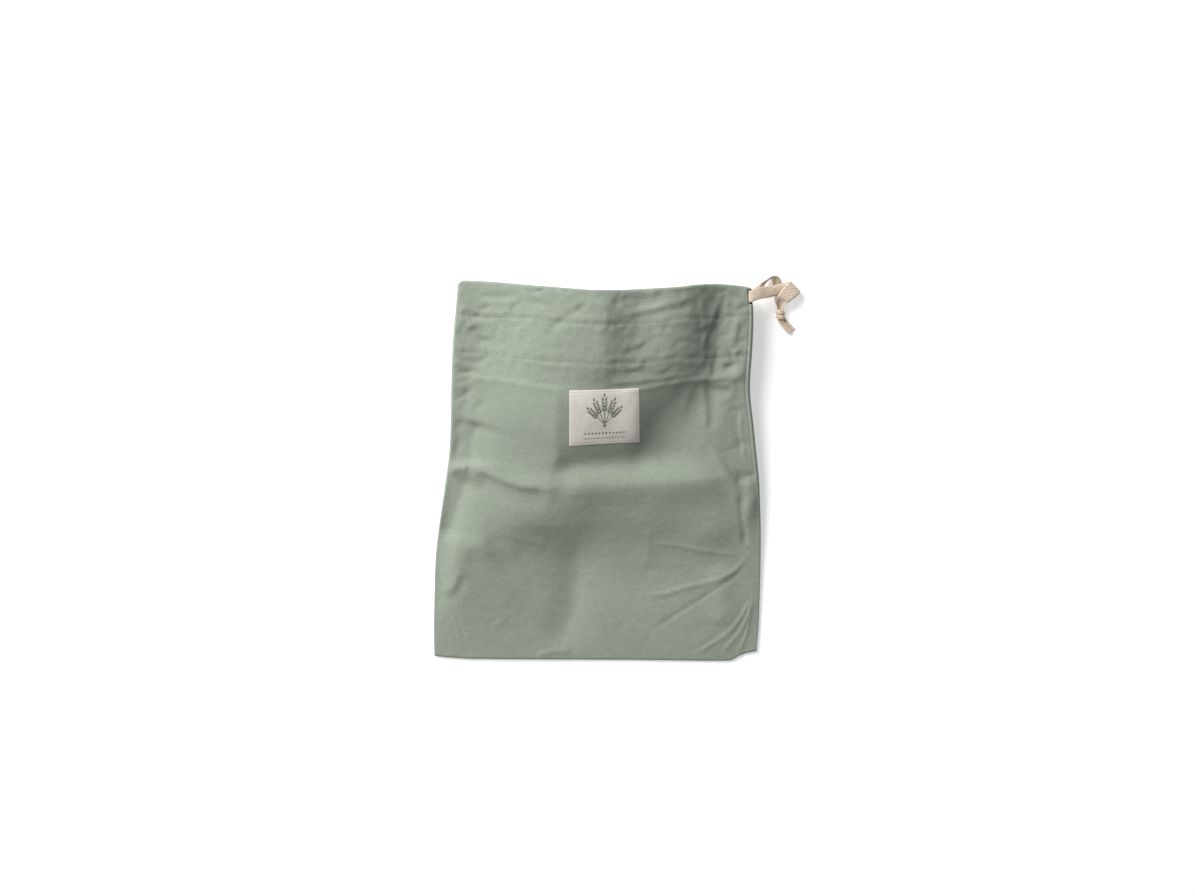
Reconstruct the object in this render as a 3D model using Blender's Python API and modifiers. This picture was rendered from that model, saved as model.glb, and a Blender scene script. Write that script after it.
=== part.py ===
"""Linen bread bag, lying on its back with its mouth held open.

One length of linen is folded at the bottom and sewn up both sides.  Its top is
turned down inside as a casing and hem.  A flat cotton tape runs round inside
the casing, leaves it through the opening in the right-hand side seam and is
knotted outside.  A small label is sewn on the front panel.

Metres, +Z up, +Y towards the mouth.  The origin is under the middle of the bag.
"""
import math

import bmesh
import bpy
from mathutils import Vector
from mathutils.bvhtree import BVHTree

MM = 0.001

# --- driving dimensions, in millimetres -----------------------------------
CLOTH_THICK = 1.0          # one layer of the linen
TAPE_THICK = 0.8
TAPE_WIDE = 11.0
TAPE_BELOW_RIM = 8.6       # from the rim to the middle of the tape, in the casing
CASING_GAP = 2.2           # inside the casing, where the tape runs
HEM_GAP = 0.6              # between the layers below the casing's stitches
CASING_DEEP = 30.0         # from the rim to the first row of stitches
HEM_DEEP = 66.0            # from the rim to the second row, the hem's end
RIM_NOMINAL = 166.0        # where the offsets of the rim are measured from
LABEL_THICK = 0.8
LABEL_CLEAR = 0.45         # under the label, so that the patch clears the facets

FRONT_SPANS = 26
BACK_SPANS = 14
SEAM_ANGLES = (90, 50, 20, -20, -50, -90)      # round each side of the bag
SLIT_SPAN = 2                                  # the span of those that is open
SLIT_ABOVE, SLIT_BELOW = 2.0, 16.0             # the slit's ends, below the rim

# --- sections across the bag, from the fold at the bottom to the rim --------
# Heights are of the front panel's outer face, at the named places across it.
COLUMNS = ("left_flank", "left_shoulder", "left_crown", "crown",
           "right_crown", "brink", "drop_foot", "right_flank")
COLUMN_X = (-112, -85, -50, 2, 50, 87, 104, 124)
SECTIONS = (
    # y,    left,   right,  seam_l, seam_r, round, heights in the order of COLUMNS
    (-172.0, -149.8, 147.4, 1.7, 1.7, 1.7, (3.5, 3.5, 3.5, 3.5, 3.5, 3.5, 3.5, 3.5)),
    (-150.0, -150.2, 149.2, 1.7, 1.7, 1.7, (4.6, 5.0, 5.4, 5.6, 5.6, 6.2, 5.6, 5.0)),
    (-120.0, -149.8, 150.0, 2.0, 2.0, 2.0, (5.2, 6.0, 6.4, 6.6, 6.8, 7.4, 6.6, 6.0)),
    (-85.0, -148.8, 150.9, 3.0, 3.0, 2.6, (6.8, 7.6, 8.0, 8.4, 9.0, 8.4, 8.0, 7.4)),
    (-55.0, -145.8, 151.0, 5.0, 5.0, 3.2, (11.0, 11.0, 10.5, 10.5, 11.5, 10.5, 10.0, 9.6)),
    (-30.0, -142.0, 150.2, 7.0, 6.5, 4.0, (15.0, 15.0, 13.5, 12.5, 13.5, 12.5, 12.5, 12.0)),
    (-14.0, -139.6, 149.6, 8.5, 8.0, 4.6, (18.0, 19.5, 19.0, 18.0, 20.0, 18.5, 17.0, 15.0)),
    (0.0, -137.4, 148.4, 9.5, 9.0, 5.0, (18.5, 20.0, 18.0, 16.5, 19.0, 18.5, 17.5, 15.5)),
    (15.0, -135.3, 146.6, 10.5, 10.0, 5.4, (19.0, 20.5, 18.5, 16.0, 17.0, 18.5, 18.0, 16.0)),
    (40.0, -133.8, 143.8, 12.0, 11.5, 6.0, (20.5, 25.0, 26.0, 26.0, 23.5, 20.0, 18.5, 17.0)),
    (75.0, -133.0, 140.0, 14.0, 13.5, 7.0, (22.5, 31.0, 38.0, 43.0, 38.0, 27.0, 20.5, 18.5)),
    (110.0, -131.6, 141.2, 15.5, 15.0, 8.0, (24.5, 36.0, 46.0, 52.0, 48.5, 42.0, 23.5, 19.8)),
    (140.0, -129.0, 142.2, 16.0, 16.0, 8.0, (26.0, 38.0, 49.0, 55.0, 52.0, 47.0, 25.0, 20.5)),
    (166.0, -126.7, 140.6, 16.5, 16.0, 8.0, (26.5, 39.0, 50.0, 56.0, 53.5, 48.5, 26.5, 21.0)),
)

# How far the rim and the bottom fold lie from their nominal lines: (x, offset).
FRONT_RIM = ((-127, 5.2), (-97, 5.0), (-77, 3.1), (4, -3.0), (58, -0.8), (77, 0.8),
             (92, 3.1), (111, 4.5), (128, 3.6), (141, 1.8))
BACK_RIM = ((-127, 5.2), (-80, 3.0), (0, 1.2), (80, 1.4), (141, 1.8))
BOTTOM_FOLD = ((-150, 3.2), (-138, 1.8), (-112, 0.4), (40, -0.6), (112, -1.4), (122, -1.2),
               (135, 5.0), (148, 7.6))
RIM_FADE = (90.0, -20.0)           # the rim's offsets hold to here and end there
BOTTOM_FADE = (-160.0, -120.0)
FOLD_MID = 1.7                     # height of the bottom fold's outer line
FOLD_OUT = (1.0, 1.5)              # how far its last row and its line lie beyond the sections
FOLD_DRAWN = 0.72                  # the last row's height, as a part of the section's

# Rows of the cloth, by their nominal y; the casing's rows are added to these.
BODY_ROWS = (-168, -159, -148, -134, -120, -106, -93, -81, -69, -58, -47, -38, -30, -22, -14,
             -6, 2, 10, 18, 27, 37, 48, 60, 72, 85)
HEM_ROWS = (70.0, 58.0, 48.0, 38.0)                    # from the rim, below the casing
CASING_ROWS = (CASING_DEEP, 23.0, SLIT_BELOW, TAPE_BELOW_RIM, SLIT_ABOVE + 0.4)
FOLD_TURNS = (45, 90, 135)         # round the rim's fold

# --- the tape outside the casing: its two edges, by hand -------------------
# Strand A runs flat to the right, folds over and comes back to the knot.
STRAND_A = (
    # far edge                 near edge
    ((148.6, 167.8, 16.2), (148.6, 156.8, 16.0)),
    ((156.0, 169.4, 12.9), (156.2, 158.5, 12.5)),
    ((164.0, 171.2, 9.2), (164.4, 160.4, 8.8)),
    ((171.0, 173.0, 6.2), (172.6, 162.0, 5.8)),
    ((175.6, 174.6, 4.2), (181.0, 163.6, 3.8)),
    ((178.0, 175.2, 6.4), (187.2, 164.7, 6.0)),
    ((176.0, 173.4, 9.8), (184.0, 161.8, 8.8)),
    ((171.4, 168.0, 11.4), (180.0, 158.6, 9.9)),
    ((167.2, 162.0, 11.6), (176.0, 155.4, 9.4)),
    ((165.3, 156.6, 8.8), (172.8, 153.4, 7.4)),
    ((165.6, 151.8, 6.4), (171.4, 151.6, 6.4)),
)
# Strand B stands on edge, turns over beyond strand A and goes under it to the knot.
STRAND_B = (
    ((147.4, 169.4, 13.8), (148.4, 159.4, 10.6)),
    ((151.6, 172.8, 13.2), (153.0, 168.6, 3.9)),
    ((155.6, 175.4, 12.2), (156.6, 174.2, 1.6)),
    ((159.8, 178.2, 11.4), (160.4, 177.4, 0.8)),
    ((165.0, 178.9, 9.6), (161.6, 177.2, 0.8)),
    ((169.0, 175.4, 6.6), (162.2, 173.2, 0.9)),
    ((171.2, 169.6, 3.4), (163.2, 167.8, 1.1)),
    ((172.2, 163.0, 2.6), (163.6, 162.2, 1.5)),
    ((171.9, 156.4, 3.1), (164.6, 156.4, 2.7)),
    ((171.2, 151.6, 3.4), (165.8, 151.8, 3.4)),
)
KNOT_TOP = (168.5, 150.3, 4.7)
KNOT_END = (171.6, 139.8, 3.1)
# The knot's radius along its length: (part of the length, radius).
KNOT_PROFILE = ((0.0, 3.3), (0.14, 4.3), (0.36, 4.7), (0.58, 4.4), (0.72, 3.9), (0.86, 3.6), (1.0, 2.9))
KNOT_ROUND = 14
TAIL_THICK = 2.0
TAIL_A = (((173.2, 140.2, 2.8), (170.6, 139.0, 2.8)),
          ((177.6, 136.2, 1.9), (174.9, 134.2, 1.9)),
          ((183.0, 130.9, 1.1), (180.5, 128.9, 1.1)))
TAIL_B = (((169.9, 139.2, 2.8), (168.2, 137.0, 2.8)),
          ((174.3, 133.8, 1.9), (172.0, 131.8, 1.9)),
          ((179.9, 128.5, 1.1), (177.4, 126.5, 1.1)))

# The label's corners on the front panel: x and y of each.
LABEL_CORNERS = ((-24.4, 73.4), (38.6, 75.6), (39.4, 26.6), (-25.0, 22.9))
LABEL_SPANS = (10, 8)


def smooth(points, where):
    """Value at `where` on a smooth curve through (place, value) pairs."""
    places = [p[0] for p in points]
    values = [p[1] for p in points]
    if where <= places[0]:
        return values[0]
    if where >= places[-1]:
        return values[-1]
    i = next(k for k in range(len(places) - 1) if where <= places[k + 1])
    span = places[i + 1] - places[i]

    def rate(k):
        """Straight slope of the span after point k."""
        return (values[k + 1] - values[k]) / (places[k + 1] - places[k])

    def slope(k):
        """Slope at point k: level at a peak, else the harmonic mean of both sides."""
        if k == 0:
            return rate(0)
        if k == len(places) - 1:
            return rate(k - 1)
        before, after = rate(k - 1), rate(k)
        if before * after <= 0:
            return 0.0
        return 2 * before * after / (before + after)

    t = (where - places[i]) / span
    a, b = slope(i) * span, slope(i + 1) * span
    return ((2 * t ** 3 - 3 * t ** 2 + 1) * values[i] + (t ** 3 - 2 * t ** 2 + t) * a
            + (-2 * t ** 3 + 3 * t ** 2) * values[i + 1] + (t ** 3 - t ** 2) * b)


def ease(t):
    t = min(max(t, 0.0), 1.0)
    return t * t * (3 - 2 * t)


def section(y):
    """The numbers of the section at y, read smoothly from SECTIONS."""
    def read(value):
        return smooth([(row[0], value(row)) for row in SECTIONS], y)
    return {
        "left": read(lambda row: row[1]),
        "right": read(lambda row: row[2]),
        "seam_left": read(lambda row: row[3]),
        "seam_right": read(lambda row: row[4]),
        "round": read(lambda row: row[5]),
        "front": [read(lambda row, k=k: row[6][k]) for k in range(len(COLUMNS))],
    }


def loop_points(y):
    """The outer outline of the section at y as (x, z) pairs, clockwise seen from the
    bottom of the bag: front from left to right, right side, back, left side."""
    s = section(y)
    r = s["round"]
    left, right = s["left"] + r, s["right"] - r
    profile = [(left, s["seam_left"] + r)]
    profile += [(x, z) for x, z in zip(COLUMN_X, s["front"])]
    profile += [(right, s["seam_right"] + r)]
    points = []
    for i in range(FRONT_SPANS + 1):
        x = left + (right - left) * i / FRONT_SPANS
        points.append((x, smooth(profile, x)))
    for angle in SEAM_ANGLES[1:-1]:
        a = math.radians(angle)
        points.append((right + r * math.cos(a), s["seam_right"] + r * math.sin(a)))
    for i in range(BACK_SPANS + 1):
        x = right + (left - right) * i / BACK_SPANS
        rise_right, rise_left = max(s["seam_right"] - r, 0.0), max(s["seam_left"] - r, 0.0)
        lift = rise_right * (1 - ease((right - x) / (8 + 4 * rise_right)))
        lift += rise_left * (1 - ease((x - left) / (8 + 4 * rise_left)))
        points.append((x, lift))
    for angle in reversed(SEAM_ANGLES[1:-1]):
        a = math.radians(180 - angle)
        points.append((left + r * math.cos(a), s["seam_left"] + r * math.sin(a)))
    return points


def is_front(j, count):
    """How far loop point j belongs to the front panel's rim: 1 on it, 0 on the back's."""
    seam = len(SEAM_ANGLES) - 1
    if j <= FRONT_SPANS:
        return 1.0
    if j < FRONT_SPANS + seam:
        return 1 - (j - FRONT_SPANS) / seam
    if j <= FRONT_SPANS + seam + BACK_SPANS:
        return 0.0
    return 1 - (count - j) / seam


def ring(y, depth=0.0, rim_shift=0.0):
    """One closed row of the cloth: `depth` is how far inside the outer face it lies."""
    outline = loop_points(y)
    count = len(outline)
    rim_weight = ease((y - RIM_FADE[1]) / (RIM_FADE[0] - RIM_FADE[1]))
    fold_weight = 1 - ease((y - BOTTOM_FADE[0]) / (BOTTOM_FADE[1] - BOTTOM_FADE[0]))
    row = []
    for j, (x, z) in enumerate(outline):
        before, after = outline[j - 1], outline[(j + 1) % count]
        tx, tz = after[0] - before[0], after[1] - before[1]
        size = math.hypot(tx, tz)
        nx, nz = -tz / size, tx / size
        front = is_front(j, count)
        rim = front * smooth(FRONT_RIM, x) + (1 - front) * smooth(BACK_RIM, x)
        shift = rim_weight * rim + fold_weight * smooth(BOTTOM_FOLD, x)
        row.append(Vector((x - depth * nx, y + shift + rim_shift, z - depth * nz)))
    return row


def cloth_rows():
    """Every row of the cloth, from the bottom over the rim to the end of the hem,
    with the distance below the rim of each casing row."""
    rows = [ring(y) for y in BODY_ROWS]
    rows += [ring(RIM_NOMINAL - d) for d in HEM_ROWS]
    marks = [None] * len(rows)
    deep = 2 * CLOTH_THICK + CASING_GAP
    for d in CASING_ROWS:
        rows.append(ring(RIM_NOMINAL - d))
        marks.append(d)
    for turn in FOLD_TURNS:
        a = math.radians(turn)
        rows.append(ring(RIM_NOMINAL - deep / 2, deep / 2 * (1 - math.cos(a)), deep / 2 * math.sin(a)))
        marks.append(None)
    for d in tuple(reversed(CASING_ROWS)) + tuple(reversed(HEM_ROWS[1:])) + (HEM_DEEP,):
        gap = HEM_GAP + (CASING_GAP - HEM_GAP) * (1 - ease((d - SLIT_BELOW) / (CASING_DEEP - SLIT_BELOW)))
        rows.append(ring(RIM_NOMINAL - d, 2 * CLOTH_THICK + gap))
        marks.append(None)
    return rows, marks


def bottom_fold():
    """The fold that closes the bag: the first full row, the row beyond it, drawn in,
    and the line of points that the fold closes on."""
    fold = ring(SECTIONS[0][0])
    last = [Vector((p.x, p.y - FOLD_OUT[0], FOLD_MID + (p.z - FOLD_MID) * FOLD_DRAWN)) for p in fold]
    nose = [Vector((p.x, p.y - FOLD_OUT[1], FOLD_MID)) for p in fold]
    return fold, last, nose


def new_object(name, mesh, material, collection):
    mesh.materials.append(material)
    obj = bpy.data.objects.new(name, mesh)
    collection.objects.link(obj)
    return obj


def mesh_from(name, points, faces):
    mesh = bpy.data.meshes.new(name)
    mesh.from_pydata([tuple(p * MM) for p in points], [], faces)
    mesh.update()
    return mesh


def principled(name, colour, roughness):
    material = bpy.data.materials.new(name)
    material.use_nodes = True
    shader = material.node_tree.nodes["Principled BSDF"]
    shader.inputs["Base Color"].default_value = (*colour, 1.0)
    shader.inputs["Roughness"].default_value = roughness
    shader.inputs["Metallic"].default_value = 0.0
    return material


def bag_body(collection, material, centre):
    """The cloth in one piece: an open surface, made a sheet by Solidify."""
    rows, marks = cloth_rows()
    count = len(rows[0])
    fold, last, nose = bottom_fold()
    rings = [last, fold] + rows
    marks = [None, None] + marks
    points = [p - centre for r in rings for p in r]
    faces = []
    slit_first = FRONT_SPANS + SLIT_SPAN
    for i in range(len(rings) - 1):
        open_row = marks[i] is not None and marks[i + 1] is not None
        open_row = open_row and SLIT_ABOVE <= marks[i + 1] and marks[i] <= SLIT_BELOW
        for j in range(count):
            if open_row and j == slit_first:
                continue
            k = (j + 1) % count
            faces.append((i * count + j, i * count + k, (i + 1) * count + k, (i + 1) * count + j))
    # The bottom closes on a line of points between the two sides.
    first_back = FRONT_SPANS + len(SEAM_ANGLES) - 1
    start = len(points)
    for i in range(FRONT_SPANS + 1):
        points.append(nose[i] - centre)
    for i in range(FRONT_SPANS):
        faces.append((i, start + i, start + i + 1, i + 1))

    def nearest_nose(j):
        x = last[j].x
        return min(range(FRONT_SPANS + 1), key=lambda i: abs(nose[i].x - x))

    back = list(range(FRONT_SPANS, count)) + [0]
    for a, b in zip(back, back[1:]):
        na, nb = nearest_nose(a), nearest_nose(b)
        line = [start + i for i in range(nb, na + 1)]
        faces.append(tuple([a] + list(reversed(line)) + [b]) if na != nb else (a, start + na, b))
    mesh = mesh_from("bag_body", points, faces)
    fix = bmesh.new()
    fix.from_mesh(mesh)
    bmesh.ops.recalc_face_normals(fix, faces=fix.faces)
    bmesh.ops.triangulate(fix, faces=[f for f in fix.faces if len(f.verts) > 4])
    fix.to_mesh(mesh)
    fix.free()
    obj = new_object("bag_body", mesh, material, collection)
    shell = obj.modifiers.new("cloth", "SOLIDIFY")
    shell.thickness = CLOTH_THICK * MM
    shell.offset = -1.0
    mesh.shade_smooth()
    return obj


def refine(rails, steps):
    """A smooth Catmull-Rom curve through the points of each edge, `steps` to a span."""
    fine = []
    n = len(rails)
    for i in range(n - 1):
        ids = (max(i - 1, 0), i, i + 1, min(i + 2, n - 1))
        for s in range(steps):
            t = s / steps
            pair = []
            for edge in (0, 1):
                a, b, c, d = (Vector(rails[k][edge]) for k in ids)
                pair.append(0.5 * ((2 * b) + (c - a) * t + (2 * a - 5 * b + 4 * c - d) * t ** 2
                                   + (3 * b - a - 3 * c + d) * t ** 3))
            fine.append(tuple(pair))
    fine.append(tuple(Vector(p) for p in rails[-1]))
    return fine


def strip(name, rails, thick, centre, collection, material):
    """A closed strip between two edge lines: a four-cornered section along the route."""
    points, faces = [], []
    n = len(rails)
    for i, (a, b) in enumerate(rails):
        before, after = rails[max(i - 1, 0)], rails[min(i + 1, n - 1)]
        along = (after[0] + after[1]) - (before[0] + before[1])
        normal = (b - a).cross(along).normalized() * (thick / 2)
        points += [a + normal - centre, b + normal - centre, b - normal - centre, a - normal - centre]
    for i in range(n - 1):
        for k in range(4):
            m = (k + 1) % 4
            faces.append((4 * i + k, 4 * i + m, 4 * i + 4 + m, 4 * i + 4 + k))
    faces.append((3, 2, 1, 0))
    faces.append((4 * n - 4, 4 * n - 3, 4 * n - 2, 4 * n - 1))
    mesh = mesh_from(name, points, faces)
    fix = bmesh.new()
    fix.from_mesh(mesh)
    bmesh.ops.recalc_face_normals(fix, faces=fix.faces)
    fix.to_mesh(mesh)
    fix.free()
    return new_object(name, mesh, material, collection)


def casing_rails():
    """The tape's two edges inside the casing, from strand A's end of the slit round the
    front, the left side and the back to strand B's end of it."""
    y = RIM_NOMINAL - TAPE_BELOW_RIM
    depth = CLOTH_THICK + CASING_GAP / 2
    middle = ring(y, depth)
    half = Vector((0, TAPE_WIDE / 2, 0))
    count = len(middle)
    seam = len(SEAM_ANGLES) - 1
    s = section(y)
    x_mid = s["right"] - s["round"]
    shift = middle[FRONT_SPANS + SLIT_SPAN].y
    mouth = [(x_mid + 9.6, 1.6), (x_mid + 7.4, 1.4), (x_mid + 5.9, 1.8)]
    front = [Vector((x, shift, s["seam_right"] + z)) for x, z in mouth]
    back = [Vector((x, shift, s["seam_right"] - z)) for x, z in reversed(mouth)]
    order = [FRONT_SPANS + 1] + list(range(FRONT_SPANS, -1, -1))
    order += list(range(count - 1, FRONT_SPANS + seam - 1, -1)) + [FRONT_SPANS + seam - 1]
    route = front + [middle[j] for j in order] + back
    return [(p + half, p - half) for p in route]


def drawstring(collection, material, centre):
    out_a = refine(STRAND_A, 3)
    out_b = refine(STRAND_B, 3)
    rails = list(reversed(out_a)) + casing_rails() + out_b
    return strip("drawstring_tape", rails, TAPE_THICK, centre, collection, material)


def knot(collection, material, centre):
    """A turned form along the knot's own axis, with a flat end to the tape and to the tails."""
    top, end = Vector(KNOT_TOP), Vector(KNOT_END)
    axis = end - top
    side = axis.cross(Vector((0, 0, 1))).normalized()
    up = side.cross(axis).normalized()
    points, faces = [], []
    for part, radius in KNOT_PROFILE:
        for k in range(KNOT_ROUND):
            a = 2 * math.pi * k / KNOT_ROUND
            p = top + axis * part + side * (radius * math.cos(a)) + up * (radius * 0.86 * math.sin(a))
            p.z = max(p.z, 0.0)
            points.append(p - centre)
    n = KNOT_ROUND
    for i in range(len(KNOT_PROFILE) - 1):
        for k in range(n):
            m = (k + 1) % n
            faces.append((n * i + k, n * i + m, n * i + n + m, n * i + n + k))
    faces.append(tuple(reversed(range(n))))
    faces.append(tuple(range(len(points) - n, len(points))))
    mesh = mesh_from("drawstring_knot", points, faces)
    fix = bmesh.new()
    fix.from_mesh(mesh)
    bmesh.ops.recalc_face_normals(fix, faces=fix.faces)
    fix.to_mesh(mesh)
    fix.free()
    return new_object("drawstring_knot", mesh, material, collection)


def label(collection, material, bag, centre):
    """A thin patch that follows the front panel just above its facets."""
    bpy.context.view_layer.update()
    graph = bpy.context.evaluated_depsgraph_get()
    tree = BVHTree.FromObject(bag, graph)
    nx, ny = LABEL_SPANS
    tl, tr, br, bl = (Vector((x, y, 0)) - centre for x, y in LABEL_CORNERS)
    points, faces = [], []
    for i in range(ny + 1):
        for j in range(nx + 1):
            u, v = j / nx, i / ny
            p = (tl * (1 - u) + tr * u) * (1 - v) + (bl * (1 - u) + br * u) * v
            hit = tree.ray_cast(Vector((p.x, p.y, 200)) * MM, Vector((0, 0, -1)))[0]
            points.append(Vector((p.x, p.y, hit.z / MM + LABEL_CLEAR)))
    for i in range(ny):
        for j in range(nx):
            a = i * (nx + 1) + j
            faces.append((a, a + nx + 1, a + nx + 2, a + 1))
    mesh = mesh_from("label", points, faces)
    obj = new_object("label", mesh, material, collection)
    patch = obj.modifiers.new("patch", "SOLIDIFY")
    patch.thickness = LABEL_THICK * MM
    patch.offset = 1.0
    return obj


def footprint_centre():
    """Middle of the bag cloth's own footprint, which becomes the origin."""
    rows, _ = cloth_rows()
    fold, last, nose = bottom_fold()
    points = [p for r in rows + [fold, last, nose] for p in r]
    xs, ys = [p.x for p in points], [p.y for p in points]
    return Vector(((min(xs) + max(xs)) / 2, (min(ys) + max(ys)) / 2, 0))


def build():
    for obj in list(bpy.data.objects):
        bpy.data.objects.remove(obj)
    collection = bpy.data.collections.new("linen bread bag")
    bpy.context.scene.collection.children.link(collection)
    linen = principled("linen", (0.36, 0.40, 0.33), 0.92)
    patch = principled("label_cloth", (0.62, 0.57, 0.50), 0.85)
    cotton = principled("cotton_tape", (0.60, 0.50, 0.38), 0.85)
    knot_cotton = principled("knot_cotton", (0.56, 0.46, 0.34), 0.85)
    tail_a_cotton = principled("tail_a_cotton", (0.60, 0.50, 0.38), 0.85)
    tail_b_cotton = principled("tail_b_cotton", (0.58, 0.48, 0.36), 0.85)
    centre = footprint_centre()
    bag = bag_body(collection, linen, centre)
    label(collection, patch, bag, centre)
    drawstring(collection, cotton, centre)
    knot(collection, knot_cotton, centre)
    strip("tape_tail_a", refine(TAIL_A, 3), TAIL_THICK, centre, collection, tail_a_cotton)
    strip("tape_tail_b", refine(TAIL_B, 3), TAIL_THICK, centre, collection, tail_b_cotton)
    print("footprint centre, mm:", [round(v, 4) for v in centre])


build()
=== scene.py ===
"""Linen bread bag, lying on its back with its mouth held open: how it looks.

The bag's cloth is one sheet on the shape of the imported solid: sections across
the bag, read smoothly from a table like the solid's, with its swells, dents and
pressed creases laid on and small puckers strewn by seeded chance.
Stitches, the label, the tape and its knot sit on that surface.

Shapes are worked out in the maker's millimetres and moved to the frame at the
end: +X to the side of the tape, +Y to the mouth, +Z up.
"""
import math

import bpy
import numpy as np
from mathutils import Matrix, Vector


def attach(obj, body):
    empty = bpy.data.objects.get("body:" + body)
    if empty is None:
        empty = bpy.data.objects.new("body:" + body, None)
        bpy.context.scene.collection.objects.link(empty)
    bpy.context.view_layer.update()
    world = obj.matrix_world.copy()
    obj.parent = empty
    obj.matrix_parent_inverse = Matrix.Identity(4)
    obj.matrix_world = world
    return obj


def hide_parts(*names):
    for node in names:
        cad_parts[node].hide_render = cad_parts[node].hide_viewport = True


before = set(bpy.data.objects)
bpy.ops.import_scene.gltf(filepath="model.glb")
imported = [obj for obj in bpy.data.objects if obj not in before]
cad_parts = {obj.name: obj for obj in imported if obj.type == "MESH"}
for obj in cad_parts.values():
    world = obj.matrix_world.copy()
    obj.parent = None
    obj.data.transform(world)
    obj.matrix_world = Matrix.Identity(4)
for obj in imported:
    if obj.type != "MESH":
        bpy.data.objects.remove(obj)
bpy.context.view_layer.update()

MM = 0.001
CENTRE = np.array([0.3578, -1.8568, 0.0])  # the maker's origin to the frame's, mm

# --- the view ---------------------------------------------------------------
EYE = np.array([0.7, 21.5, 1750.0])  # the eye, in the maker's mm
FIELD_WIDE = 1103.0  # width of table that the view holds, mm

# --- the cloth, in mm --------------------------------------------------------
# It turns in at the rim, into the casing for the tape and, below that, the hem: how deep
# under the rim each ends, and the gap inside it.
CLOTH_THICK = 0.7
CASING_GAP = 2.2
HEM_GAP = 0.6
CASING_DEEP = 30.0
HEM_DEEP = 66.0
TABLE_CLEAR = 0.15  # room under the cloth for its stitches, mm
LAYERS = 2.0  # the solid's two layers, mm
RIM_NOMINAL = 166.0
TAPE_BELOW_RIM = 8.6
SLIT_ABOVE, SLIT_BELOW = 2.2, 16.0  # the slit's ends, below the rim
SLIT_FRONT, SLIT_BACK = 3, 10  # columns that it takes before and round the nose

COLUMN_X = np.array([-112, -85, -50, 2, 50, 87, 104, 124], float)
SECTIONS = (
    # y,    left,   right,  seam_l, seam_r, round, heights of the front at COLUMN_X
    (-172.0, -149.8, 147.4, 1.7, 1.7, 1.7, (3.3, 3.4, 3.4, 3.4, 3.4, 3.4, 3.3, 3.2)),
    (-150.0, -150.2, 149.2, 1.7, 1.7, 1.7, (4.2, 4.4, 4.6, 4.7, 4.7, 5.2, 4.9, 4.6)),
    (-120.0, -149.8, 150.0, 2.0, 2.0, 2.0, (5.2, 6.0, 6.4, 6.6, 6.8, 7.4, 6.6, 6.0)),
    (-85.0, -148.8, 150.9, 3.0, 3.0, 2.6, (6.8, 7.6, 8.0, 8.4, 9.0, 8.4, 8.0, 7.4)),
    (-55.0, -145.8, 151.0, 5.0, 5.0, 3.2, (11.0, 11.0, 10.5, 10.5, 11.5, 10.5, 10.0, 9.6)),
    (-30.0, -142.0, 150.2, 7.0, 6.5, 4.0, (15.0, 15.0, 13.5, 12.5, 13.5, 12.5, 12.5, 12.0)),
    (-14.0, -139.6, 149.6, 8.5, 8.0, 4.6, (18.0, 19.5, 19.0, 18.0, 20.0, 18.5, 17.0, 15.0)),
    (0.0, -137.4, 148.4, 9.5, 9.0, 5.0, (18.5, 20.0, 18.0, 16.5, 19.0, 18.5, 17.5, 15.5)),
    (15.0, -135.3, 146.6, 10.5, 10.0, 5.4, (19.0, 20.5, 18.5, 16.0, 17.0, 18.5, 18.0, 16.0)),
    (40.0, -133.8, 143.8, 13.5, 13.0, 4.5, (20.5, 25.0, 26.0, 26.0, 23.5, 20.0, 18.5, 17.0)),
    (75.0, -133.0, 140.0, 16.0, 15.5, 5.0, (22.5, 31.0, 38.0, 43.0, 38.0, 27.0, 20.5, 18.5)),
    (110.0, -131.6, 142.2, 18.0, 17.5, 5.5, (24.5, 36.0, 46.0, 52.0, 48.0, 38.0, 26.5, 20.5)),
    (140.0, -129.0, 143.2, 18.5, 18.5, 5.5, (26.0, 38.0, 49.0, 55.0, 51.5, 42.0, 29.5, 22.5)),
    (166.0, -126.7, 141.6, 19.0, 18.5, 5.5, (26.5, 39.0, 50.0, 56.0, 53.0, 43.5, 31.5, 25.0)),
)
FRONT_RIM = ((-127, 6.6), (-121, 8.2), (-112, 7.8), (-97, 6.4), (-77, 4.0), (-45, 0.6), (4, -3.0),
             (58, -0.8), (77, 0.8), (92, 3.1), (111, 4.5), (128, 3.6), (141, 1.8))
BACK_RIM = ((-127, 6.6), (-116, 6.8), (-80, 3.4), (0, 1.2), (80, 1.4), (141, 1.8))
BOTTOM_FOLD = ((-150, 3.2), (-138, 1.8), (-112, 0.4), (40, -0.6), (112, -1.4), (122, -1.2),
               (135, 5.0), (148, 7.6))
BLUR = 14.0  # reach of the rounding between sections, mm
BLUR_STEPS = ((-1.0, 1 / 16), (-0.5, 4 / 16), (0.0, 6 / 16), (0.5, 4 / 16), (1.0, 1 / 16))
RIM_FADE = (90.0, -20.0)
BOTTOM_FADE = (-160.0, -120.0)

# The stitch rows, the label and the creases lie where the eye sees them on the
# table's plane, in mm: the surface under each is found along the line of sight.
STITCH_ROW_TOP = ((-130, 145.5), (-119, 144.5), (-108, 142.5), (-84, 143), (-64, 142), (-30, 138),
                  (4, 136), (48, 137), (77, 141), (92, 141.7), (119, 142.5), (139, 144.7))
STITCH_ROW_LOW = ((-132, 112), (-119, 110.5), (-91, 107.5), (-63, 104), (-1, 100), (46, 100.5),
                  (77, 105), (116, 105), (125, 107), (140, 107.4))
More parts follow.
